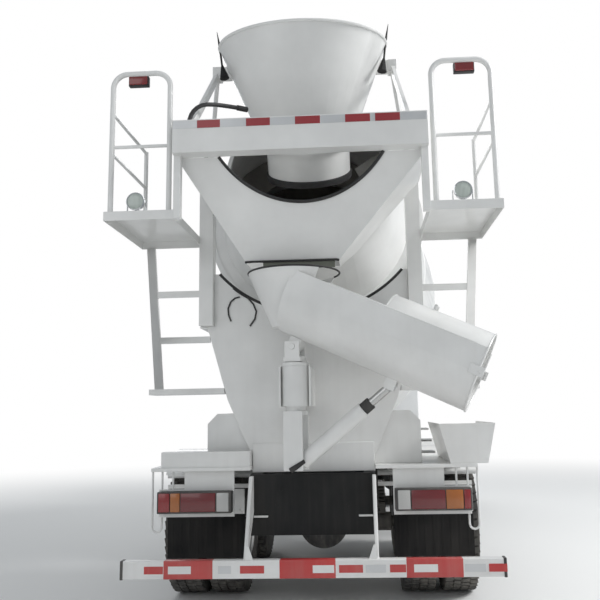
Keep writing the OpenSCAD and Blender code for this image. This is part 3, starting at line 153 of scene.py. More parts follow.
def effect_group(name, inputs, outputs):
    """A shader node group with named sockets; returns it with its in and out nodes."""
    group = bpy.data.node_groups.new(name, "ShaderNodeTree")
    for title, kind, value in inputs:
        socket = group.interface.new_socket(title, in_out="INPUT", socket_type=kind)
        if value is not None:
            socket.default_value = value
    for title, kind in outputs:
        group.interface.new_socket(title, in_out="OUTPUT", socket_type=kind)
    return group, group.nodes.new("NodeGroupInput"), group.nodes.new("NodeGroupOutput")


# Road dust: its amount grows towards the ground and gathers in patches and rain streaks.
road_dust, dust_in, dust_out = effect_group(
    "road_dust", [("Vector", "NodeSocketVector", None), ("Color", "NodeSocketColor", None),
                  ("Dust Color", "NodeSocketColor", (0.42, 0.39, 0.34, 1)), ("Amount", "NodeSocketFloat", 0.3)],
    [("Color", "NodeSocketColor"), ("Mask", "NodeSocketFloat")])
dust_place = dust_in.outputs["Vector"]
dust_height = shader_node(road_dust, "SeparateXYZ", {0: dust_place}).outputs["Z"]
dust_low = ramp_value(road_dust, dust_height, 2.6, 0.35, 0.25, 1.0)
dust_patches = ramp_value(road_dust, noise_node(road_dust, dust_place, 2.3, 6.0), 0.34, 0.7)
dust_streaks = ramp_value(road_dust, noise_node(road_dust, dust_place, 1.0, 4.0, (23, 23, 1.6)), 0.45, 0.75)
dust_mask = math_node(road_dust, "MULTIPLY", dust_low,
                      math_node(road_dust, "ADD", math_node(road_dust, "MULTIPLY", dust_patches, 0.6),
                                math_node(road_dust, "MULTIPLY", dust_streaks, 0.4)))
dust_mask = math_node(road_dust, "MULTIPLY", dust_mask, dust_in.outputs["Amount"], clamp=True)
fill(road_dust, dust_out, {"Mask": dust_mask, "Color": mix_colours(
    road_dust, dust_mask, dust_in.outputs["Color"], dust_in.outputs["Dust Color"])})

# Grain: a fine height for orange peel, cast skin or moulded grain.
fine_grain, grain_in, grain_out = effect_group(
    "fine_grain", [("Vector", "NodeSocketVector", None), ("Scale", "NodeSocketFloat", 120.0)],
    [("Height", "NodeSocketFloat")])
grain_noise = shader_node(fine_grain, "TexNoise", {"Detail": 2.0, "Vector": grain_in.outputs["Vector"],
                                                   "Scale": grain_in.outputs["Scale"]})
fill(fine_grain, grain_out, {"Height": grain_noise.outputs["Fac"]})


def finish(name, colour, roughness, metallic=0.0, coat=0.0, dust=0.25, grain=150.0, bump=0.05, mottle=0.03,
           depth=0.0008, gloss=0.5):
    """A material: slightly mottled colour under road dust, with a fine grain in its normal."""
    made, tree, shader, place = new_material(name)
    dark = tuple(c * (1 - 3 * mottle) for c in colour) + (1,)
    light = tuple(min(1, c * (1 + mottle)) for c in colour) + (1,)
    body = mix_colours(tree, ramp_value(tree, noise_node(tree, place, 3.1, 5.0), 0.3, 0.7), dark, light)
    dusty, skin = shader_node(tree, "Group", node_tree=road_dust), shader_node(tree, "Group", node_tree=fine_grain)
    fill(tree, dusty, {"Amount": dust, "Vector": place, "Color": body})
    fill(tree, skin, {"Scale": grain, "Vector": place})
    rough = ramp_value(tree, dusty.outputs["Mask"], 0.0, 1.0, roughness, min(1.0, roughness + 0.45))
    fill(tree, shader, {"Base Color": dusty.outputs["Color"], "Roughness": rough, "Metallic": metallic,
                        "Specular IOR Level": gloss, "Coat Weight": coat, "Coat Roughness": 0.08,
                        "Normal": bump_normal(tree, skin.outputs["Height"], bump, depth)})
    return made


# White paint: baked two-coat enamel over mild steel. The film is nearly even, with a slight
# orange peel, a haze of road dust low down and faint rain streaks. The chassis is sprayed black.
white_paint = finish("white_enamel", (0.8, 0.8, 0.785), 0.33, coat=0.35, dust=0.2, grain=260, bump=0.1)
dark_paint = finish("chassis_black", (0.01, 0.0105, 0.011), 0.5, dust=0.07, grain=120, bump=0.2, mottle=0.08,
                    gloss=0.25)


def skin_of(node, width, material=white_paint, turn=32, segments=2, longer=0.0,
            crease=33.0):
    """The node's own form with its edges rounded, as sheet metal and castings have; it stands for the node."""
    shell = bmesh.new()
    shell.from_mesh(frame["nodes"][node].data)
    bmesh.ops.remove_doubles(shell, verts=shell.verts, dist=2e-5)
    bmesh.ops.dissolve_limit(shell, angle_limit=radians(0.6), verts=shell.verts, edges=shell.edges)
    if width:
        # faces in triangles: the inset outline of a many-sided plate would cross itself
        bmesh.ops.triangulate(shell, faces=[f for f in shell.faces if len(f.verts) > 4])
        edges = [e for e in shell.edges if len(e.link_faces) == 2 and e.calc_length() > longer
                 and e.calc_face_angle(0) > radians(turn)]
        bmesh.ops.bevel(shell, geom=edges, offset=width, offset_type="OFFSET", segments=segments, profile=0.5,
                        affect="EDGES", clamp_overlap=False, material=-1)
    form = add_piece(node + "_form", shell, material, body_of[node], (node,), crease)
    if width:
        flat = form.modifiers.new("flat_faces", "WEIGHTED_NORMAL")
        flat.keep_sharp = True
        flat.weight = 100
    return form


def add_piece(name, bm, material=white_paint, body="truck", replaces=(), crease=33.0):
    """Closes a bmesh into an object that rides on a body and takes its finish from a slot."""
    mesh = bpy.data.meshes.new(name)
    bm.to_mesh(mesh)
    bm.free()
    mesh.shade_smooth()
    mesh.set_sharp_from_angle(angle=radians(crease))
    mesh.materials.append(material)
    piece = show(name, mesh)
    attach(piece, body)
    if replaces:
        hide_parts(*replaces)
    return piece


def paint(material, *nodes):
    """Gives carried-over nodes their material."""
    for node in nodes:
        for part_slot in frame["nodes"][node].material_slots:
            part_slot.material = material


def moved(bm, matrix, verts=None):
    """Transforms a bmesh or some of its vertices."""
    bmesh.ops.transform(bm, matrix=matrix, verts=bm.verts if verts is None else verts)


def placed(spot, degrees, axis):
    """A turn about an axis through the origin, followed by a move to a spot."""
    return Matrix.Translation(spot) @ Matrix.Rotation(radians(degrees), 4, axis)


def circle(radius, count, along_z=0.0, shift=0.0):
    """Points round Z at equal steps; the first lies the shift, a part of a step, past X."""
    steps = [tau * (k + shift) / count for k in range(count)]
    return [Vector((radius * cos(angle), radius * sin(angle), along_z)) for angle in steps]


# Chassis: two pressed channels with crossmembers and a closing plate, riveted together and
# sprayed black; the mixer's white box-section subframe lies on top and is clamped with U-bolts.
axle_y = (2.825, -0.975, -2.325)
axle_z = 0.54
sub_top = 1.17
rail_x = 0.425


def unique(items):
    """The items once each, in the order in which they first come."""
    return list(dict.fromkeys(items))


def rounded(bm, made, edges, width, segments=2):
    """Bevels some edges of the vertices made; returns the vertices that there are then."""
    new = bmesh.ops.bevel(bm, geom=unique(edges), offset=width, offset_type="OFFSET", segments=segments, profile=0.5,
                          affect="EDGES", clamp_overlap=True, material=-1)
    return unique([v for f in new["faces"] for v in f.verts] + [v for v in made if v.is_valid])


def block(bm, low, high, bevel=0.0, segments=2):
    """A box between two corners, its edges rounded."""
    low, high = [Vector(map(pick, low, high)) for pick in (min, max)]
    made = list(bmesh.ops.create_cube(bm, size=1.0)["verts"])
    bmesh.ops.scale(bm, vec=high - low, verts=made)
    if bevel:
        made = rounded(bm, made, (e for v in made for e in v.link_edges), bevel, segments)
    bmesh.ops.translate(bm, vec=(low + high) / 2, verts=made)
    return made


def strips(bm, spans, face, back, low, high):
    """Strips of tape on a rear face, each from one X to another."""
    for start, end in spans:
        block(bm, (start, face, low), (end, back, high), 0.0004, 1)


def along(start, end):
    """Turns local Z, from the origin, onto the way from start to end."""
    way = Vector(end) - Vector(start)
    return Matrix.Translation(Vector(start)) @ way.to_track_quat("Z", "Y").to_matrix().to_4x4()


def bar(bm, start, end, radius, end_radius=None, sides=20, bevel=0.0):
    """A round bar or cone between two points."""
    length = (Vector(end) - Vector(start)).length
    made = bmesh.ops.create_cone(bm, cap_ends=True, segments=sides, radius1=radius,
                                 radius2=radius if end_radius is None else end_radius, depth=length)["verts"]
    bmesh.ops.translate(bm, vec=(0, 0, length / 2), verts=made)
    if bevel:
        made = rounded(bm, made, [e for v in made for e in v.link_edges if e.calc_face_angle(0) > 1.0], bevel)
    moved(bm, along(start, end), made)
    return made


def hex_bolt(bm, spot, out, across=0.024, height=0.014, washer=0.018):
    """A hexagon head on its washer, standing out from a face."""
    spot, out = Vector(spot), Vector(out).normalized()
    bar(bm, spot - out * 0.002, spot + out * 0.003, washer, sides=16)
    bar(bm, spot, spot + out * height, across / 2 / cos(pi / 6), sides=6, bevel=0.0015)


paint(dark_paint, "frame")
skin_of("subframe", 0.004)
bolts = bmesh.new()
for side in (-1, 1):
    for row in range(34):
        y = -3.5 + row * 0.215
        for z in (0.83, 0.99):
            bar(bolts, (side * (rail_x - 0.002), y, z), (side * (rail_x + 0.006), y, z), 0.012, 0.007, sides=10)
    for y in (-3.2, -1.65, -0.2, 0.9, 1.8):
        for dy in (-0.05, 0.05):
            spot = Vector((side * (rail_x + 0.012), y + dy, 0))
            bar(bolts, spot + Vector((0, 0, 0.72)), spot + Vector((0, 0, sub_top + 0.03)), 0.008, sides=8)
        block(bolts, (side * (rail_x - 0.09), y - 0.07, sub_top), (side * (rail_x + 0.03), y + 0.07, sub_top + 0.014),
              0.002, 1)
        block(bolts, (side * rail_x, y - 0.07, 0.75), (side * (rail_x + 0.03), y + 0.07, 0.77), 0.002, 1)
for side in (-1, 1):
    for x, z in ((0.216, 0.95), (0.24, 0.847)):
        bar(bolts, (side * x, -3.588, z), (side * x, -3.612, z), 0.02, 0.014, sides=16)
add_piece("chassis_rivets_and_clamps", bolts, dark_paint)

# Axles and springs: cast housings with ribbed covers, leaf packs held by U-bolts, all black
# and dusty because they sit in the wheels' spray.
cast_iron = finish("cast_black", (0.045, 0.045, 0.047), 0.62, dust=0.7, grain=70, bump=0.5, mottle=0.1)
skin_of("front_axle", 0.005, cast_iron)
for node, width in (("rear_bogie", 0.004), ("tie_rod", 0.0015), ("knuckle_left", 0.003), ("knuckle_right", 0.003)):
    skin_of(node, width, cast_iron, turn=50)
leaves = bmesh.new()
for side in (-1, 1):
    for x, y, count, longest, shorter, top, rise, thick, clip_low, clip_high in (
            (side * 0.38, axle_y[0], 4, 0.62, 0.11, 0.062, -0.016, 0.013, -0.03, 0.085),
            (side * 0.48, (axle_y[1] + axle_y[2]) / 2, 5, 0.66, 0.1, 0.168, 0.018, 0.017, 0.06, 0.27)):
        for leaf in range(count):
            reach, z = longest - shorter * leaf, axle_z + top + rise * leaf
            block(leaves, (x - 0.042, y - reach, z - thick), (x + 0.042, y + reach, z), 0.002, 1)
        for dx, dy in ((-0.05, -0.06), (0.05, -0.06), (-0.05, 0.06), (0.05, 0.06)):
            bar(leaves, (x + dx, y + dy, axle_z + clip_low), (x + dx, y + dy, axle_z + clip_high), 0.009, sides=8)
add_piece("spring_leaves_and_clips", leaves, cast_iron)

# Tyres: vulcanised rubber with a block tread, ribs round the sidewall and dust in the grooves.
# Each is pressed on its rim's seats; twins share one hub.
tyre_rubber = finish("tyre_rubber", (0.028, 0.028, 0.029), 0.78, dust=0.55, grain=180, bump=0.35, mottle=0.06)
tread_rows = ((-0.098, 0.0), (-0.034, 0.5), (0.034, 0.0), (0.098, 0.5))
tread_steps = 52


def revolve(bm, outline, steps, axis="Z", closed=True):
    """Spins an outline of (radius, along) points about an axis; a closed one gives a ring."""
    verts = [bm.verts.new((x, r, 0) if axis == "X" else (r, 0, x)) for r, x in outline]
    edges = [bm.edges.new((verts[i], verts[i + 1])) for i in range(len(verts) - 1)]
    if closed:
        edges.append(bm.edges.new((verts[-1], verts[0])))
    before = set(bm.verts) - set(verts)
    bmesh.ops.spin(bm, geom=verts + edges, cent=(0, 0, 0), axis=(1, 0, 0) if axis == "X" else (0, 0, 1),
                   angle=tau, steps=steps, use_merge=True)
    made = [v for v in bm.verts if v not in before]
    bmesh.ops.remove_doubles(bm, verts=made, dist=1e-6)
    made = [v for v in bm.verts if v not in before]
    bmesh.ops.recalc_face_normals(bm, faces=unique(f for v in made for f in v.link_faces))
    return made


def tyre_form(bm, x, y, mirror):
    """One tyre round X at (x, y): carcass with sidewall ribs, then the tread blocks."""
    outline = [(r, inset - 0.1425) for r, inset in (
        (0.2865, 0.021), (0.3, 0.012), (0.318, 0.006), (0.322, 0.009), (0.35, 0.001), (0.372, 0), (0.376, 0.003),
        (0.405, 0.001), (0.44, 0.001), (0.446, 0.005), (0.47, 0.006), (0.498, 0.01), (0.514, 0.016), (0.523, 0.028),
        (0.527, 0.06))]
    made = revolve(bm, outline + [(r, -a) for r, a in outline[::-1]], 64, "X")
    for row, shift in tread_rows:
        outer = abs(row) > 0.06
        wide = 0.058 if outer else 0.056
        for step in range(tread_steps):
            turn = Matrix.Rotation(tau * (step + shift) / tread_steps, 4, "X") \
                @ placed((0, 0, 0.5315), -10 if row < 0 else 10, "Z")
            block_verts = bmesh.ops.create_cube(bm, size=1.0)["verts"]
            bmesh.ops.scale(bm, vec=(wide, 0.048 if outer else 0.043, 0.0165), verts=block_verts)
            top = [e for v in block_verts for e in v.link_edges if all(w.co.z > 0 for w in e.verts)]
            block_verts = rounded(bm, block_verts, top, 0.003, 1)
            bmesh.ops.translate(bm, vec=(row, 0, 0), verts=block_verts)
            moved(bm, turn, block_verts)
            made += block_verts
    if mirror:
        bmesh.ops.rotate(bm, cent=(0, 0, 0), matrix=Matrix.Rotation(pi, 3, "Z"), verts=made)
    bmesh.ops.translate(bm, vec=(x, y, axle_z), verts=made)


front_x, rear_x, twin_half = 1.02, 0.925, 0.1625
twins = (rear_x - twin_half, rear_x + twin_half)
wheel_sets = [(place + hand, side, axle, tracks, tyre + place + hand, rim + place + hand)
              for axle, (place, tracks, tyre, rim) in enumerate((("front", (front_x,), "tyre_", "rim_"),
                                                                 ("mid", twins, "tyres_", "rims_"),
                                                                 ("rear", twins, "tyres_", "rims_")))
              for side, hand in ((-1, "_left"), (1, "_right"))]
for place, side, axle, tracks, tyre_node, rim_node in wheel_sets:
    rubber = bmesh.new()
    for track in tracks:
        tyre_form(rubber, side * track, axle_y[axle], side < 0)
    add_piece("treaded_" + tyre_node, rubber, tyre_rubber, body_of[tyre_node], replaces=(tyre_node,))

# Wheels: rolled steel rims with pressed discs that have eight hand holes, ten studs with nuts
# round the hub and a turned hub cap, painted silver grey.
rim_paint = finish("wheel_silver", (0.46, 0.465, 0.47), 0.42, metallic=0.35, dust=0.5, grain=160, bump=0.15)
hand_holes, studs, stud_r, dish_in = 8, 10, 0.1425, 0.1025


def wheel_disc(bm, x, face, out):
    """A disc with hand holes at x, its dished face towards out."""
    radii = (0.058, 0.125, 0.15, 0.18, 0.23, 0.245, 0.2745)
    dish = (0.012, 0.012, 0.006, 0.0, -0.004, -0.01, -0.01)
    steps = 6 * hand_holes
    rings = [[bm.verts.new((face + out * d, spot.x, spot.y)) for spot in circle(r, steps)]
             for r, d in zip(radii, dish)]
    faces = []
    for k in range(len(radii) - 1):
        for s in range(steps):
            if k == 3 and s % 6 in (1, 2, 3):  # a hand hole
                continue
            faces.append(bm.faces.new((rings[k][s], rings[k][(s + 1) % steps],
                                       rings[k + 1][(s + 1) % steps], rings[k + 1][s])))
    solid = bmesh.ops.solidify(bm, geom=faces, thickness=0.012)
    verts = unique(sum(rings, []) + [g for g in solid["geom"] if isinstance(g, bmesh.types.BMVert)])
    bmesh.ops.recalc_face_normals(bm, faces=unique(f for v in verts for f in v.link_faces))
    bmesh.ops.translate(bm, vec=(x, 0, 0), verts=verts)
    return verts


def rim_form(bm, x, y, out, face, nuts):
    """A rim at x whose disc stands at x + face, with nuts and a hub cap towards out."""
    outer = [(0.2855, 0.1305), (0.2915, 0.1265), (0.2855, 0.1205), (0.284, 0.0905), (0.277, 0.045)]
    inner = [(0.2735, 0.1165), (0.268, 0.045)]
    made = revolve(bm, [(r, -a) for r, a in outer] + outer[::-1] + inner + [(r, -a) for r, a in inner[::-1]], 64, "X")
    bmesh.ops.translate(bm, vec=(x, 0, 0), verts=made)
    made += wheel_disc(bm, x, face, out)
    start = x + face
    made += bar(bm, (start - out * 0.05, 0, 0), (start + out * 0.046, 0, 0), 0.112, sides=40, bevel=0.004)
    if nuts:
        made += bar(bm, (start + out * 0.04, 0, 0), (start + out * 0.085, 0, 0), 0.078, 0.066, sides=32, bevel=0.004)
        way = Vector((out, 0, 0))
        for stud in circle(stud_r, studs, shift=0.5):
            spot = Vector((start, stud.x, stud.y))
            made += bar(bm, spot, spot + way * 0.012, 0.021, sides=14)
            made += bar(bm, spot + way * 0.01, spot + way * 0.034, 0.0175, sides=6, bevel=0.002)
            made += bar(bm, spot + way * 0.03, spot + way * 0.048, 0.0095, sides=10)
    bmesh.ops.translate(bm, vec=(0, y, axle_z), verts=[v for v in made if v.is_valid])


for place, side, axle, tracks, tyre_node, rim_node in wheel_sets:
    metal = bmesh.new()
    if axle == 0:
        rim_form(metal, side * front_x, axle_y[axle], side, 0.0, True)
    else:
        rim_form(metal, side * tracks[0], axle_y[axle], side, side * dish_in, False)
        rim_form(metal, side * tracks[1], axle_y[axle], side, -side * dish_in + side * 0.012, True)
        bar(metal, (side * (rear_x - 0.05), axle_y[axle], axle_z), (side * (rear_x + 0.05), axle_y[axle], axle_z),
            0.1, sides=32)
    add_piece(place + "_wheel_steel", metal, rim_paint, body_of[rim_node], replaces=(rim_node,))

# Drum: wear plate rolled to a barrel with cones at both ends, welded along its seams, with a
# bolted hatch in the belly. It turns on the reducer's flange in front and on the roller ring behind.
drum_frame = placed((0, 1.55, 2.05), 90 - 13, "X")
drum_section = ((0.0, 0.3), (0.17, 0.72), (1.25, 1.15), (2.75, 1.15), (5.16, 0.6))
ring_s, ring_r, ring_half = 4.35, 0.9, 0.039


def shell_r(s):
    """The drum's outer radius at a distance from its front head."""
    for (s0, r0), (s1, r1) in zip(drum_section, drum_section[1:]):
        if s <= s1:
            return r0 + (r1 - r0) * (s - s0) / (s1 - s0)
    return drum_section[-1][1]


skin_of("drum", 0, crease=12)
welds = bmesh.new()
for s in (0.17, 0.7, 1.25, 2.0, 2.75, 3.45, 4.05):
    r = shell_r(s) + 0.0005
    revolve(welds, [(r - 0.004, s - 0.009), (r + 0.0025, s - 0.004), (r + 0.0035, s), (r + 0.0025, s + 0.004),
                    (r - 0.004, s + 0.009)], 96)
hatch_turn, hatch_r = Matrix.Rotation(radians(205), 4, "Z"), shell_r(2)
moved(welds, hatch_turn, block(welds, (hatch_r - 0.02, -0.21, 1.78), (hatch_r + 0.022, 0.21, 2.22), 0.02))
corners = [Vector(corner) for corner in ((-1, -1), (1, -1), (1, 1), (-1, 1), (-1, -1))]
hatch_bolts = 18
for k in range(hatch_bolts):
    side, share = divmod(k * 4 / hatch_bolts, 1)
    edge = corners[int(side)].lerp(corners[int(side) + 1], share)
    spot = hatch_turn @ Vector((hatch_r + 0.021, edge.x * 0.18, 2.0 + edge.y * 0.19))
    hex_bolt(welds, spot, hatch_turn.to_3x3() @ Vector((1, 0, 0)), 0.022, 0.012, 0.016)
for spot in circle(0.262, 16, 0.001):
    hex_bolt(welds, spot, (0, 0, -1), 0.03, 0.018, 0.022)
moved(welds, drum_frame)
bmesh.ops.recalc_face_normals(welds, faces=welds.faces)
add_piece("drum_seams_and_hatch", welds, body="mixing_drum")

# Blades: wear steel polished by the concrete, stitch-welded inside the shell.
worn_steel = finish("worn_steel", (0.4, 0.39, 0.37), 0.38, metallic=0.85, dust=0.5, grain=90, bump=0.25, mottle=0.1)
paint(worn_steel, "drum_blades")

# Rollers: forged steel, machined bright where they run, on shafts in plummer blocks.
bright_steel = finish("machined_steel", (0.56, 0.56, 0.55), 0.24, metallic=0.95, dust=0.15, grain=400, bump=0.12)
for node in ("roller_left", "roller_right"):
    skin_of(node, 0.004, bright_steel, turn=50)
running_face = bmesh.new()
low, high = ring_s - ring_half, ring_s + ring_half
revolve(running_face, [(ring_r + 0.0002, low), (ring_r + 0.0012, low + 0.003), (ring_r + 0.0012, high - 0.003),
                       (ring_r + 0.0002, high), (ring_r - 0.004, ring_s)], 128)
moved(running_face, drum_frame)
add_piece("ring_running_face", running_face, bright_steel, "mixing_drum")

# Rear pedestal: folded and welded plate, white, with a deck that carries the rollers' bearings
# and a cradle plate whose cut edge wears a black rubber bead.
skin_of("rear_pedestal", 0.003, longer=0.06)
edge_rubber = finish("edge_rubber", (0.02, 0.02, 0.021), 0.62, dust=0.25, grain=140, bump=0.2, mottle=0.06)


def sweep(bm, points, radius, sides=10):
    """A round bead or hose along a row of points."""
    curve = bpy.data.curves.new("path", "CURVE")
    curve.dimensions = "3D"
    curve.bevel_depth = radius
    curve.bevel_resolution = max(1, sides // 4)
    curve.use_fill_caps = True
    line = curve.splines.new("POLY")
    line.points.add(len(points) - 1)
    for point, where in zip(line.points, points):
        point.co = (*where, 1)
    holder = show("path", curve)
    bpy.context.view_layer.update()
    mesh = bpy.data.meshes.new_from_object(holder.evaluated_get(bpy.context.evaluated_depsgraph_get()))
    bm.from_mesh(mesh)
    bpy.data.objects.remove(holder)
    bpy.data.curves.remove(curve)
    bpy.data.meshes.remove(mesh)


def arc_points(centre, radius, start, end, steps, y):
    """Points on an arc in the rear view, angles from straight right, at depth y."""
    angles = [radians(start + (end - start) * k / steps) for k in range(steps + 1)]
    return [(centre[0] + radius * cos(angle), y, centre[1] + radius * sin(angle)) for angle in angles]


edging = bmesh.new()
sweep(edging, arc_points((0, 3.04), 0.878, -138.6, -41.4, 60, -3.504), 0.0115)
add_piece("cradle_edging", edging, edge_rubber)

# Discharge funnel: two folded plates that guide the concrete from the drum's lip to the chute.
# Its rear plate is cut out in a wide arc with a rubber bead; a steel lip hangs at the outlet.
skin_of("discharge_funnel", 0.0015)
edging = bmesh.new()
sweep(edging, [(x, -3.923 - 0.305 * (z - 2.45) / 0.63, z)
               for x, y, z in arc_points((0, 3.446), 0.64, -145, -35, 60, 0)], 0.0105)
sweep(edging, [(-0.405, -3.925, 2.452), (-0.36, -3.928, 2.454), (0.2, -3.928, 2.454), (0.222, -3.925, 2.45)],
      0.0075)
add_piece("funnel_edging", edging, edge_rubber)
lip_steel = finish("outlet_lip_steel", (0.13, 0.14, 0.11), 0.5, dust=0.3, grain=120, bump=0.2, mottle=0.1)
lip = bmesh.new()
block(lip, (-0.285, -3.922, 2.404), (0.193, -3.914, 2.45), 0.002, 1)
add_piece("outlet_lip", lip, lip_steel)

# Feed hopper: rolled cone with a bead round its oval rim, bolted to a short neck that hangs into
# the drum's mouth; a rubber seal closes the neck.
skin_of("hopper", 0, crease=18)
rim_place = placed((0, -3.915, 3.96), 3, "X")
oval = [rim_place @ Vector((0.578 * spot.x, 0.398 * spot.y, 0.006)) for spot in circle(1, 72)]
rolled = bmesh.new()
sweep(rolled, oval + oval[:1], 0.011)
add_piece("hopper_rolled_rim", rolled)
neck_end = Vector((0, -3.4, 3.222))
neck_way = Vector((0, -sin(radians(35)), cos(radians(35))))
seal = bmesh.new()
seal_place = neck_end + neck_way * 0.004
seal_frame = Matrix.Translation(seal_place) @ neck_way.to_track_quat("Z", "Y").to_matrix().to_4x4()
revolve(seal, [(0.301, -0.012), (0.3175, -0.012), (0.3175, 0.03), (0.3072, 0.034), (0.3072, 0.0), (0.301, -0.004)],
        72)
moved(seal, seal_frame)
add_piece("neck_seal", seal, edge_rubber)
# The dark catches of the hopper's cover, with their pointed rods, on the cone's sides
catches = bmesh.new()
for side in (-1, 1):
    bar(catches, (side * 0.563, -3.928, 3.862), (side * 0.545, -3.928, 3.762), 0.007, 0.034, sides=8)
    bar(catches, (side * 0.562, -3.928, 3.85), (side * 0.58, -3.928, 4.0), 0.007, sides=10)
    bar(catches, (side * 0.58, -3.928, 3.996), (side * 0.6, -3.928, 4.112), 0.009, 0.0015, sides=10)
add_piece("hopper_catches", catches, dark_paint)

# Crossbeam, columns and platforms: folded plate and square tube, welded; red and silver
# reflective tape runs along the beam's upper edge. The platforms are trodden chequer plate.
skin_of("platforms", 0.002)
tape_red = finish("tape_red", (0.32, 0.018, 0.026), 0.32, coat=0.5, dust=0.15, grain=300, bump=0.1)
tape_silver = finish("tape_silver", (0.62, 0.63, 0.64), 0.28, metallic=0.3, coat=0.5, dust=0.15, grain=300, bump=0.1)
red_tape, silver_tape = bmesh.new(), bmesh.new()
tape_spans = ((-0.642, -0.496), (-0.332, -0.181), (-0.024, 0.133), (0.289, 0.444), (0.475, 0.629))
strips(red_tape, tape_spans, -4.3268, -4.3249, 3.237, 3.288)
strips(silver_tape, ((-0.795, 0.795),), -4.326, -4.3249, 3.237, 3.288)
add_piece("beam_tape_red", red_tape, tape_red)
add_piece("beam_tape_silver", silver_tape, tape_silver)
tread = bmesh.new()
for side in (-1, 1):
    for row in range(15):
        for column in range(8):
            spot = (side * (0.84 + column * 0.052), -4.24 + row * 0.052, 2.7302)
            stud = bmesh.ops.create_cube(tread, size=1.0)["verts"]
            bmesh.ops.scale(tread, vec=(0.03, 0.008, 0.004), verts=stud)
            bmesh.ops.scale(tread, vec=(0.75, 0.5, 1), verts=[v for v in stud if v.co.z > 0])
            moved(tread, placed(spot, 45 if (row + column) % 2 else -45, "Z"), stud)
add_piece("platform_chequers", tread)
skin_of("railings", 0)

# Work lamps and marker lamps: round lamps with a chromed bezel and a ribbed lens on each
# platform, and an oblong red marker in a black frame under each hoop.
clear_lens, lens_tree, lens_shader, lens_place = new_material("lamp_glass")
lens_ribs = shader_node(lens_tree, "TexWave", {"Scale": 40.0, "Vector": lens_place}).outputs["Fac"]
fill(lens_tree, lens_shader, {
    "Base Color": mix_colours(lens_tree, lens_ribs, (0.38, 0.43, 0.39, 1), (0.6, 0.65, 0.61, 1)),
    "Normal": bump_normal(lens_tree, lens_ribs, 0.35, 0.002), "Roughness": 0.12, "Coat Weight": 0.8})
chrome = finish("lamp_chrome", (0.72, 0.73, 0.74), 0.12, metallic=1.0, dust=0.1, grain=300, bump=0.03)
black_plastic = finish("black_plastic", (0.028, 0.028, 0.03), 0.48, dust=0.3, grain=500, bump=0.35)


def coloured_lens(name, colour):
    """A moulded lens: its colour deepens between fine prisms."""
    made, tree, shader, place = new_material(name)
    prisms = shader_node(tree, "TexVoronoi", {"Scale": 150.0, "Randomness": 0.0, "Vector": place}).outputs["Distance"]
    deep = tuple(c * 0.55 for c in colour) + (1,)
    fill(tree, shader, {"Base Color": mix_colours(tree, ramp_value(tree, prisms, 0.1, 0.6), (*colour, 1), deep),
                        "Normal": bump_normal(tree, prisms, 0.4, 0.0015), "Roughness": 0.14, "Coat Weight": 0.9})
    return made


red_lens = coloured_lens("lens_red", (0.34, 0.014, 0.016))
deep_red_lens = coloured_lens("lens_deep_red", (0.19, 0.009, 0.012))
amber_lens = coloured_lens("lens_amber", (0.5, 0.15, 0.02))
white_lens = coloured_lens("lens_clear", (0.62, 0.62, 0.6))
lamp_shells, lamp_lenses, marker_bases, marker_lenses = bmesh.new(), bmesh.new(), bmesh.new(), bmesh.new()
for x in (-1.05, 1.005):
    shell = revolve(lamp_shells, [(0.0, 0.0), (0.018, 0.0005), (0.04, 0.006), (0.052, 0.02), (0.055, 0.046),
                                  (0.0575, 0.047), (0.0575, 0.058), (0.052, 0.06), (0.05, 0.055), (0.0, 0.052)],
                    40, closed=False)
    glass = revolve(lamp_lenses, [(0.0, 0.0625), (0.02, 0.062), (0.038, 0.0595), (0.0505, 0.0555), (0.0495, 0.0525),
                                  (0.0, 0.0525)], 40, closed=False)
    stand = placed((x, -4.195, 2.798), 90, "X")
    moved(lamp_shells, stand, shell)
    moved(lamp_lenses, stand, glass)
    block(lamp_shells, (x - 0.02, -4.226, 2.73), (x + 0.02, -4.206, 2.7345), 0.001, 1)
    for dx in (-0.061, 0.061):
        block(lamp_shells, (x + dx - 0.0025, -4.226, 2.732), (x + dx + 0.0025, -4.206, 2.806), 0.001, 1)
    block(lamp_shells, (x - 0.063, -4.226, 2.732), (x + 0.063, -4.206, 2.738), 0.001, 1)
for side in (-1, 1):
    x = side * 1.055
    block(marker_bases, (x - 0.066, -4.222, 3.588), (x + 0.066, -4.186, 3.655), 0.004)
    block(marker_bases, (x - 0.03, -4.216, 3.65), (x + 0.03, -4.196, 3.676), 0.001, 1)
    block(marker_lenses, (x - 0.06, -4.236, 3.594), (x + 0.06, -4.22, 3.65), 0.005)
add_piece("work_lamp_bodies", lamp_shells, chrome, replaces=("upper_lamps",))
add_piece("work_lamp_lenses", lamp_lenses, clear_lens)
add_piece("marker_lamp_bases", marker_bases, black_plastic)
add_piece("marker_lamp_lenses", marker_lenses, red_lens)

# Spare chute and water hose: a short open trough of the same plate lies on the walkway; a
# reinforced rubber hose carries the wash water up to the hopper.
skin_of("spare_chute", 0.0015)
hose_rubber = finish("hose_rubber", (0.022, 0.022, 0.024), 0.5, dust=0.3, grain=220, bump=0.3)
paint(hose_rubber, "water_hose", "grease_hoses")
wash_hose = bmesh.new()
sweep(wash_hose, [(-0.702, -4.285, 3.29), (-0.699, -4.285, 3.315), (-0.69, -4.283, 3.345), (-0.675, -4.28, 3.372),
                  (-0.653, -4.276, 3.395), (-0.625, -4.268, 3.413), (-0.596, -4.25, 3.426), (-0.548, -4.205, 3.443),
                  (-0.489, -4.135, 3.462), (-0.425, -4.07, 3.476)], 0.014, 12)
bar(wash_hose, (-0.43, -4.075, 3.475), (-0.375, -4.02, 3.484), 0.018, sides=16)
add_piece("wash_hose", wash_hose, hose_rubber)

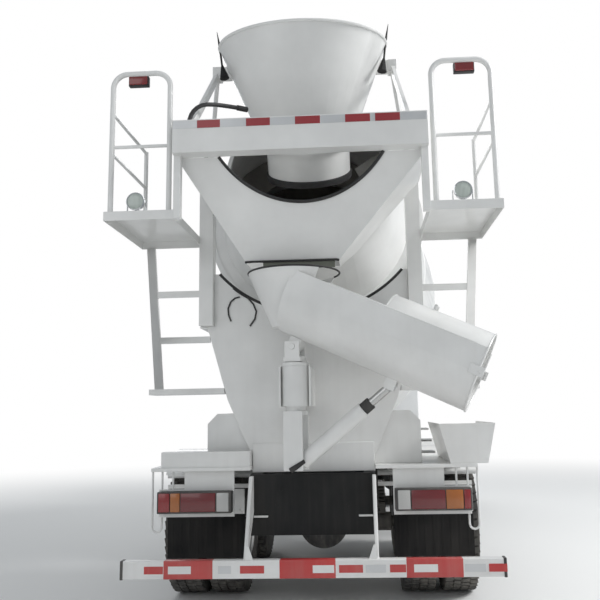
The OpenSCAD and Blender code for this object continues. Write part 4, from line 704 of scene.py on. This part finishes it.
# Chute gear: swivel post in its housing, the main chute with its bowl, the extension folded
# over it, and the jack that props it. White, with bare pins and a chromed rod.
skin_of("chute_post", 0.003)
skin_of("chute", 0.0015, turn=40)
skin_of("chute_extension", 0.0015, turn=40)
skin_of("jack_tube", 0.002, turn=50)
skin_of("jack_rod", 0.001, bright_steel, turn=50)
jack_seal = bmesh.new()
jack_way = Vector((0.761662, -0.161896, 0.627424))
jack_low = Vector((-0.060656, -3.816237, 1.13))
bar(jack_seal, jack_low + jack_way * 0.5435, jack_low + jack_way * 0.61, 0.041, sides=32, bevel=0.004)
add_piece("jack_seal", jack_seal, edge_rubber, body_of["jack_tube"])
lever = bmesh.new()
bar(lever, (-0.123, -3.893, 1.092), (-0.03, -3.893, 1.152), 0.019, 0.013, sides=16, bevel=0.004)
add_piece("jack_foot_pin", lever, edge_rubber, body_of["chute_post"])
chute_frame = placed((-0.09, -3.81, 1.89), -12, "Z") @ Matrix.Rotation(radians(25), 4, "Y")
trough_mid, trough_top, chute_r, chute_t = 0.334, 0.464, 0.268, 0.006
chute_len, ext_len, ext_r, ext_mid = 1.18, 0.68, 0.236, 0.332
beads = bmesh.new()


def trough_line(x, radius, mid, top, up=1):
    """A cross-section line of a trough at x along the chute, from one top edge to the other."""
    points = [(x, -radius, mid + up * top)]
    points += [(x, -radius * cos(radians(a)), mid - up * radius * sin(radians(a))) for a in range(0, 181, 6)]
    return points + [(x, radius, mid + up * top)]


sweep(beads, trough_line(chute_len - 0.004, chute_r + chute_t, trough_mid, 0.13), 0.007)
for side in (-1, 1):
    edge_y = side * (chute_r + chute_t / 2)
    sweep(beads, [(0.12, edge_y, trough_top), (chute_len - 0.075, edge_y, trough_top)], 0.0065)
moved(beads, chute_frame)
add_piece("chute_edge_beads", beads, body="main_chute")
rim_bead = bmesh.new()
sweep(rim_bead, [(-0.09 + 0.3085 * cos(radians(a)), -3.81 + 0.3085 * sin(radians(a)), 2.386)
                 for a in range(150, 391, 6)], 0.0065)
add_piece("bowl_rim_bead", rim_bead, edge_rubber, "main_chute")
ext_beads = bmesh.new()
for x in (chute_len - 0.006, chute_len - ext_len + 0.006):
    sweep(ext_beads, trough_line(x, ext_r + chute_t - 0.001, ext_mid, 0.06, -1), 0.006)
grip_x, grip_low = chute_len - 0.41, ext_mid + ext_r
for side in (-1, 1):
    block(ext_beads, (grip_x - 0.01, side * 0.05 - 0.006, grip_low + 0.004),
          (grip_x + 0.01, side * 0.05 + 0.006, grip_low + 0.04), 0.002, 1)
sweep(ext_beads, [(grip_x, -0.05, grip_low + 0.036), (grip_x, 0.05, grip_low + 0.036)], 0.006)
moved(ext_beads, chute_frame)
add_piece("extension_beads_and_grip", ext_beads, body="folding_chute")

# Front pedestal and reducer: welded plate frame that holds the drum's planetary drive; the
# drive is a ribbed casting with a flange of bolts and a hydraulic motor at its front.
skin_of("front_pedestal", 0.003)
skin_of("reducer", 0.004, cast_iron)
drive = bmesh.new()
for spot in circle(0.212, 24, -0.031):
    hex_bolt(drive, spot, (0, 0, 1), 0.02, 0.012, 0.014)
for spot in circle(0.165, 8, -0.339, 0.5):
    hex_bolt(drive, spot, (0, 0, -1), 0.02, 0.012, 0.014)
for s in (-0.2, -0.235, -0.27, -0.305):
    revolve(drive, [(0.186, s - 0.006), (0.2, s - 0.004), (0.2, s + 0.004), (0.186, s + 0.006)], 48)
moved(drive, drum_frame)
add_piece("reducer_ribs_and_bolts", drive, cast_iron)

# Engine, gearbox and shafts: castings under the cab, sprayed grey and dusty.
skin_of("powertrain", 0.006, cast_iron, turn=50)

# Bumper: painted sheet steel with a louvred lower grille, fog lamps and two steps on each side;
# its lamps are glass in black bowls.
cab_paint = finish("cab_white", (0.8, 0.81, 0.81), 0.24, coat=0.6, dust=0.2, grain=320, bump=0.06)
skin_of("bumper", 0.008, cab_paint, segments=3, longer=0.12)
grille = bmesh.new()
for row in range(7):
    z = 0.93 + row * 0.022
    block(grille, (-0.86, 4.269, z), (0.86, 4.277, z + 0.011), 0.002, 1)
for row in range(5):
    z = 0.53 + row * 0.05
    block(grille, (-0.62, 4.323, z), (0.62, 4.3255, z + 0.028), 0.002, 1)
lamp_x = 0.93
for side in (-1, 1):
    block(grille, (side * lamp_x - 0.15, 4.2852, 0.6003), (side * lamp_x + 0.15, 4.2895, 0.7797), 0.001, 1)
add_piece("bumper_grilles", grille, black_plastic)
front_lamps, front_glass = bmesh.new(), bmesh.new()
for side in (-1, 1):
    for dx, r in ((-0.075, 0.062), (0.068, 0.058)):
        bowl = revolve(front_lamps, [(r, 0.028), (r * 0.93, 0.029), (r * 0.85, 0.016), (r * 0.55, 0.006),
                                     (0.012, 0.003), (0.012, 0.014), (0.0, 0.016)], 36, closed=False)
        moved(front_lamps, placed((side * lamp_x + dx, 4.29, 0.69), -90, "X"), bowl)
    block(front_glass, (side * lamp_x - 0.148, 4.318, 0.602), (side * lamp_x + 0.148, 4.3212, 0.778), 0.0012, 1)
add_piece("headlamp_bowls", front_lamps, chrome, replaces=("headlamps",))
window_glass, glass_tree, glass_shader, glass_place = new_material("tinted_glass")
glass_dust = ramp_value(glass_tree, noise_node(glass_tree, glass_place, 5.0, 6.0), 0.4, 0.8)
fill(glass_tree, glass_shader, {
    "Base Color": mix_colours(glass_tree, glass_dust, (0.72, 0.8, 0.8, 1), (0.66, 0.72, 0.71, 1)),
    "Roughness": ramp_value(glass_tree, glass_dust, 0.0, 1.0, 0.02, 0.07), "Transmission Weight": 0.9, "IOR": 1.45})
add_piece("headlamp_covers", front_glass, window_glass)

# Fuel tank, air tanks, battery box and water tank: brushed aluminium drum with straps, black
# steel bottles, a ribbed lid, and a white pressed tank with a sight tube.
tank_metal = finish("tank_aluminium", (0.6, 0.61, 0.62), 0.34, metallic=0.9, dust=0.35, grain=60, bump=0.12)
skin_of("fuel_tank", 0.05, tank_metal, turn=60, segments=5)
skin_of("chassis_boxes", 0.006, dark_paint, turn=50)
skin_of("water_tank", 0.006, turn=50)
fittings = bmesh.new()
for y in (1.12, 1.68):
    for right, low, high in ((-1.16, 0.494, 1.026), (-0.514, 1.02, 1.026), (-0.514, 0.494, 0.5)):
        block(fittings, (-1.166, y - 0.025, low), (right, y + 0.025, high), 0.002, 1)
bar(fittings, (-0.98, 1.04, 1.01), (-0.98, 1.04, 1.062), 0.052, sides=32, bevel=0.004)
for row in range(6):
    block(fittings, (1.14, 1.36 + row * 0.095, 0.6), (1.1445, 1.4 + row * 0.095, 0.96), 0.0015, 1)
for z in (0.62, 0.88):
    for y in (0.42, 0.98):
        band = revolve(fittings, [(0.125, -0.018), (0.1285, -0.018), (0.1285, 0.018), (0.125, 0.018)], 40)
        moved(fittings, placed((0.7, y, z), 90, "X"), band)
add_piece("tank_straps_and_caps", fittings, dark_paint)
white_fittings = bmesh.new()
for x in (-1.08, -0.81, -0.6):
    band = revolve(white_fittings, [(0.2495, -0.02), (0.2535, -0.02), (0.2535, 0.02), (0.2495, 0.02)], 56, "X")
    bmesh.ops.translate(white_fittings, vec=(x, 1.99, 1.5), verts=band)
bar(white_fittings, (-0.84, 1.99, 1.74), (-0.84, 1.99, 1.79), 0.06, sides=28, bevel=0.004)
sweep(white_fittings, [(-1.194, 1.97, 1.36), (-1.206, 1.97, 1.36), (-1.206, 1.97, 1.64), (-1.194, 1.97, 1.64)], 0.007)
add_piece("water_tank_bands", white_fittings)

# Side guards, fenders and walkway: rolled sheet and small tube, white; mud flaps are black
# rubber with pressed ribs.
skin_of("side_guards", 0.003)
skin_of("fenders", 0.0015, turn=50, longer=0.05)
flap_rubber = finish("flap_rubber", (0.008, 0.008, 0.009), 0.7, dust=0.07, grain=160, bump=0.3, mottle=0.08, gloss=0.2)
skin_of("mud_flaps", 0.002, flap_rubber)
ribs = bmesh.new()
for side in (-1, 1):
    for column in range(9):
        x = side * (0.6 + column * 0.064)
        block(ribs, (x - 0.008, -3.0165, 0.42), (x + 0.008, -3.0145, 0.7), 0.0009, 1)
add_piece("mud_flap_ribs", ribs, flap_rubber)
skirts = bmesh.new()
for side in (-1, 1):
    block(skirts, (side * 0.855 - 0.294, -3.0235, 0.71), (side * 0.855 + 0.294, -3.0155, 0.893), 0.002, 1)
    for k in range(6):
        hex_bolt(skirts, (side * (0.6 + 0.102 * k), -3.0235, 0.735), (0, -1, 0), 0.018, 0.01, 0.013)
add_piece("mud_flap_skirts", skirts)

# Tail lamps: four lenses in one black moulded tray on each side, with a tube loop round it that
# keeps the lamp from being knocked.
trays, reds, deep_reds, ambers, clears = [bmesh.new() for batch in range(5)]
lamp_face = -3.6455
for side in (-1, 1):
    block(trays, (side * 0.8025 - 0.2535, lamp_face, 0.801), (side * 0.8025 + 0.2535, -3.5752, 0.945), 0.006)
    inner = (0.964, 0.898) if side < 0 else (0.998, 0.884)
    for start, end, batch in ((1.046, inner[0] + 0.004, reds), (*inner, ambers), (inner[1] - 0.004, 0.655, deep_reds),
                              (0.649, 0.566, clears)):
        low, high = sorted((side * start, side * end))
        block(batch, (low, lamp_face - 0.008, 0.812), (high, lamp_face + 0.004, 0.936), 0.006)
add_piece("tail_lamp_trays", trays, black_plastic, replaces=("tail_lamps",))
add_piece("tail_lamp_reds", reds, red_lens)
add_piece("tail_lamp_deep_reds", deep_reds, deep_red_lens)
add_piece("tail_lamp_ambers", ambers, amber_lens)
add_piece("tail_lamp_clears", clears, white_lens)

# Underrun bar: square tube on two welded arms, banded red and white, each band with a dash of
# the other colour in its middle, and closed by black plastic caps.
bar_white = finish("bar_white", (0.78, 0.78, 0.77), 0.38, coat=0.3, dust=0.25, grain=260, bump=0.1)
bar_red = finish("bar_red", (0.5, 0.03, 0.03), 0.36, coat=0.3, dust=0.25, grain=260, bump=0.1)
skin_of("underrun_bar", 0.006, bar_white, segments=3)
bands_red, bands_white, dashes_silver, caps = [bmesh.new() for batch in range(4)]
for start, end in ((-0.928, -0.612), (-0.198, 0.157), (0.588, 0.941)):
    block(bands_red, (start, -3.9262, 0.4445), (end, -3.8648, 0.5555), 0.0058)
dash_low, dash_high, dash_back = 0.477, 0.523, -3.9245
strips(bands_red, ((-1.049, -0.928), (-0.442, -0.291), (0.175, 0.323), (0.489, 0.588)), -3.9262, dash_back,
       dash_low, dash_high)
strips(bands_white, ((-0.896, -0.751), (0.012, 0.145), (0.637, 0.783)), -3.9272, -3.9258, dash_low, dash_high)
strips(dashes_silver, ((-0.58, -0.498), (0.342, 0.465), (0.948, 1.075)), -3.9262, dash_back, dash_low, dash_high)
strips(bands_red, ((1.093, 1.2035),), -3.9296, dash_back, dash_low, dash_high)
for side in (-1, 1):
    block(caps, (side * 1.1935 - 0.0095, -3.9285, 0.4425), (side * 1.1935 + 0.0095, -3.8625, 0.5575), 0.004)
tabs = bmesh.new()
for side in (-1, 1):
    corners = [(side * 0.362, 0.5545), (side * 0.41, 0.5545), (side * 0.41, 0.64), (side * 0.392, 0.64)]
    near, far = [[tabs.verts.new((x, y, z)) for x, z in corners] for y in (-3.915, -3.907)]
    tabs.faces.new(near)
    tabs.faces.new(far[::-1])
    for k in range(4):
        tabs.faces.new((near[k], far[k], far[(k + 1) % 4], near[(k + 1) % 4]))
    block(tabs, (side * 0.352 - 0.048, -3.626, 0.768), (side * 0.352 + 0.048, -3.598, 0.78), 0.002, 1)
bmesh.ops.recalc_face_normals(tabs, faces=tabs.faces)
add_piece("underrun_gussets_and_ledges", tabs)
add_piece("underrun_red_bands", bands_red, bar_red)
add_piece("underrun_white_dashes", bands_white, bar_white)
add_piece("underrun_silver_dashes", dashes_silver, tape_silver)
add_piece("underrun_end_caps", caps, black_plastic)

# Cab: spot-welded steel shell in two-coat white with rubber-sealed glass, a black grille flap
# that opens for service, and moulded trim.
skin_of("cab_shell", 0.012, cab_paint, segments=4, longer=0.25)
for node in ("door_left", "door_right"):
    skin_of(node, 0.004, cab_paint, segments=3, longer=0.2)
paint(window_glass, "cab_glass", "door_glass_left", "door_glass_right")
skin_of("grille_flap", 0.004, cab_paint, segments=3, longer=0.1)
cab_front, roof_z = 4.25, 2.87
louvres = bmesh.new()
for row in range(8):
    z = 1.38 + row * 0.052
    block(louvres, (-0.6, cab_front - 0.004, z), (0.6, cab_front + 0.006, z + 0.034), 0.004)
add_piece("grille_louvres", louvres, black_plastic, "front_flap")
trim = bmesh.new()
door_line = ((3.19, 1.9), (4.03, 1.9), (4.04, 1.96), (3.88, 2.67), (3.19, 2.67), (3.19, 1.9))
for side, rider in ((-1, "left_door"), (1, "right_door")):
    door_trim = bmesh.new()
    sweep(door_trim, [(side * 1.1985, y, z) for y, z in door_line], 0.011)
    block(door_trim, (side * 1.204 - 0.008, 3.19, 1.7), (side * 1.204 + 0.008, 3.34, 1.73), 0.003)
    sweep(door_trim, [(side * 1.198, 3.2, 1.715), (side * 1.226, 3.215, 1.715), (side * 1.226, 3.325, 1.715),
                      (side * 1.198, 3.34, 1.715)], 0.009)
    add_piece(rider + "_seal_and_handle", door_trim, black_plastic, rider)
screen = ((-1.08, 4.222, 2.0), (1.08, 4.222, 2.0), (1.08, 4.043, 2.738), (-1.08, 4.043, 2.738), (-1.08, 4.222, 2.0))
sweep(trim, screen, 0.013)
for side in (-1, 1):
    sweep(trim, [(side * 0.25, 4.245, 1.955), (side * 0.25, 4.262, 1.975), (side * 0.78, 4.245, 2.06)], 0.007)
    sweep(trim, [(side * 0.35, 4.233, 2.03), (side * 0.98, 4.228, 2.06)], 0.005)
block(trim, (-1.0, cab_front - 0.17, roof_z - 0.1), (1.0, cab_front - 0.02, roof_z - 0.085), 0.004)
for x in (-0.9, -0.45, 0.45, 0.9):
    block(trim, (x - 0.045, cab_front - 0.42, roof_z - 0.005), (x + 0.045, cab_front - 0.36, roof_z + 0.022), 0.008)
add_piece("cab_seals_and_wipers", trim, black_plastic, "cab")
mirror_glass = finish("mirror_glass", (0.8, 0.82, 0.83), 0.04, metallic=1.0, dust=0.06, grain=100, bump=0.005)
skin_of("mirrors", 0.02, black_plastic, segments=3, turn=50)
panes = bmesh.new()
for side in (-1, 1):
    block(panes, (side * 1.335 - 0.075, 4.1435, 1.975), (side * 1.335 + 0.075, 4.1455, 2.375), 0.0008, 1)
add_piece("mirror_panes", panes, mirror_glass, "cab")

# Cab inside: moulded dashboard with a steering wheel, and two seats with foam cushions in
# grey cloth.
dash_plastic = finish("dash_plastic", (0.09, 0.09, 0.095), 0.6, dust=0.1, grain=700, bump=0.4)
inside = bmesh.new()
block(inside, (-1.15, 3.852, 1.55), (1.15, 4.183, 1.885), 0.03, 4)
block(inside, (-0.2, 2.95, 1.285), (0.2, 3.6, 1.5), 0.03, 3)
for x in (-0.6, 0.6):
    block(inside, (x - 0.22, 2.93, 1.285), (x + 0.22, 3.46, 1.6), 0.02)
bar(inside, (-0.6, 3.86, 1.83), (-0.6, 3.7, 1.99), 0.028, sides=16)
wheel_ring = revolve(inside, [(0.215 + spot.x, spot.y) for spot in circle(0.014, 10)], 40)
for spoke in circle(0.21, 3):
    wheel_ring += bar(inside, (0, 0, -0.004), spoke, 0.011, sides=8)
moved(inside, along((-0.6, 3.71, 1.98), (-0.6, 3.6, 2.09)), [v for v in wheel_ring if v.is_valid])
add_piece("dashboard_and_wheel", inside, dash_plastic, "cab", replaces=("cab_interior",))
seat_cloth = finish("seat_cloth", (0.1, 0.105, 0.12), 0.9, dust=0.05, grain=900, bump=0.6, mottle=0.06)
for x, side in ((-0.6, "driver"), (0.6, "mate")):
    for part, low, high in (("cushion", (x - 0.25, 2.92, 1.58), (x + 0.25, 3.5, 1.735)),
                            ("backrest", (x - 0.245, 2.9, 1.7), (x + 0.245, 3.03, 2.24)),
                            ("headrest", (x - 0.13, 2.91, 2.25), (x + 0.13, 3.00, 2.36))):
        pad = bmesh.new()
        bmesh.ops.create_cube(pad, size=1.0)
        bmesh.ops.subdivide_edges(pad, edges=pad.edges[:], cuts=7, use_grid_fill=True)
        for v in pad.verts:
            u = [2 * abs(c) for c in v.co]
            thin = 2 if part == "cushion" else 1
            others = [k for k in range(3) if k != thin]
            crown = (1 - u[others[0]] ** 4) * (1 - u[others[1]] ** 4)
            v.co[thin] *= 0.78 + 0.22 * crown
            for k in others:
                v.co[k] *= 1 - 0.06 * u[others[1] if k == others[0] else others[0]] ** 6
        bmesh.ops.scale(pad, vec=Vector(high) - Vector(low), verts=pad.verts)
        bmesh.ops.translate(pad, vec=(Vector(low) + Vector(high)) / 2, verts=pad.verts)
        cushion = add_piece(side + "_seat_" + part, pad, seat_cloth, "cab", crease=180)
        soft = cushion.modifiers.new("round", "SUBSURF")
        soft.levels = soft.render_levels = 2
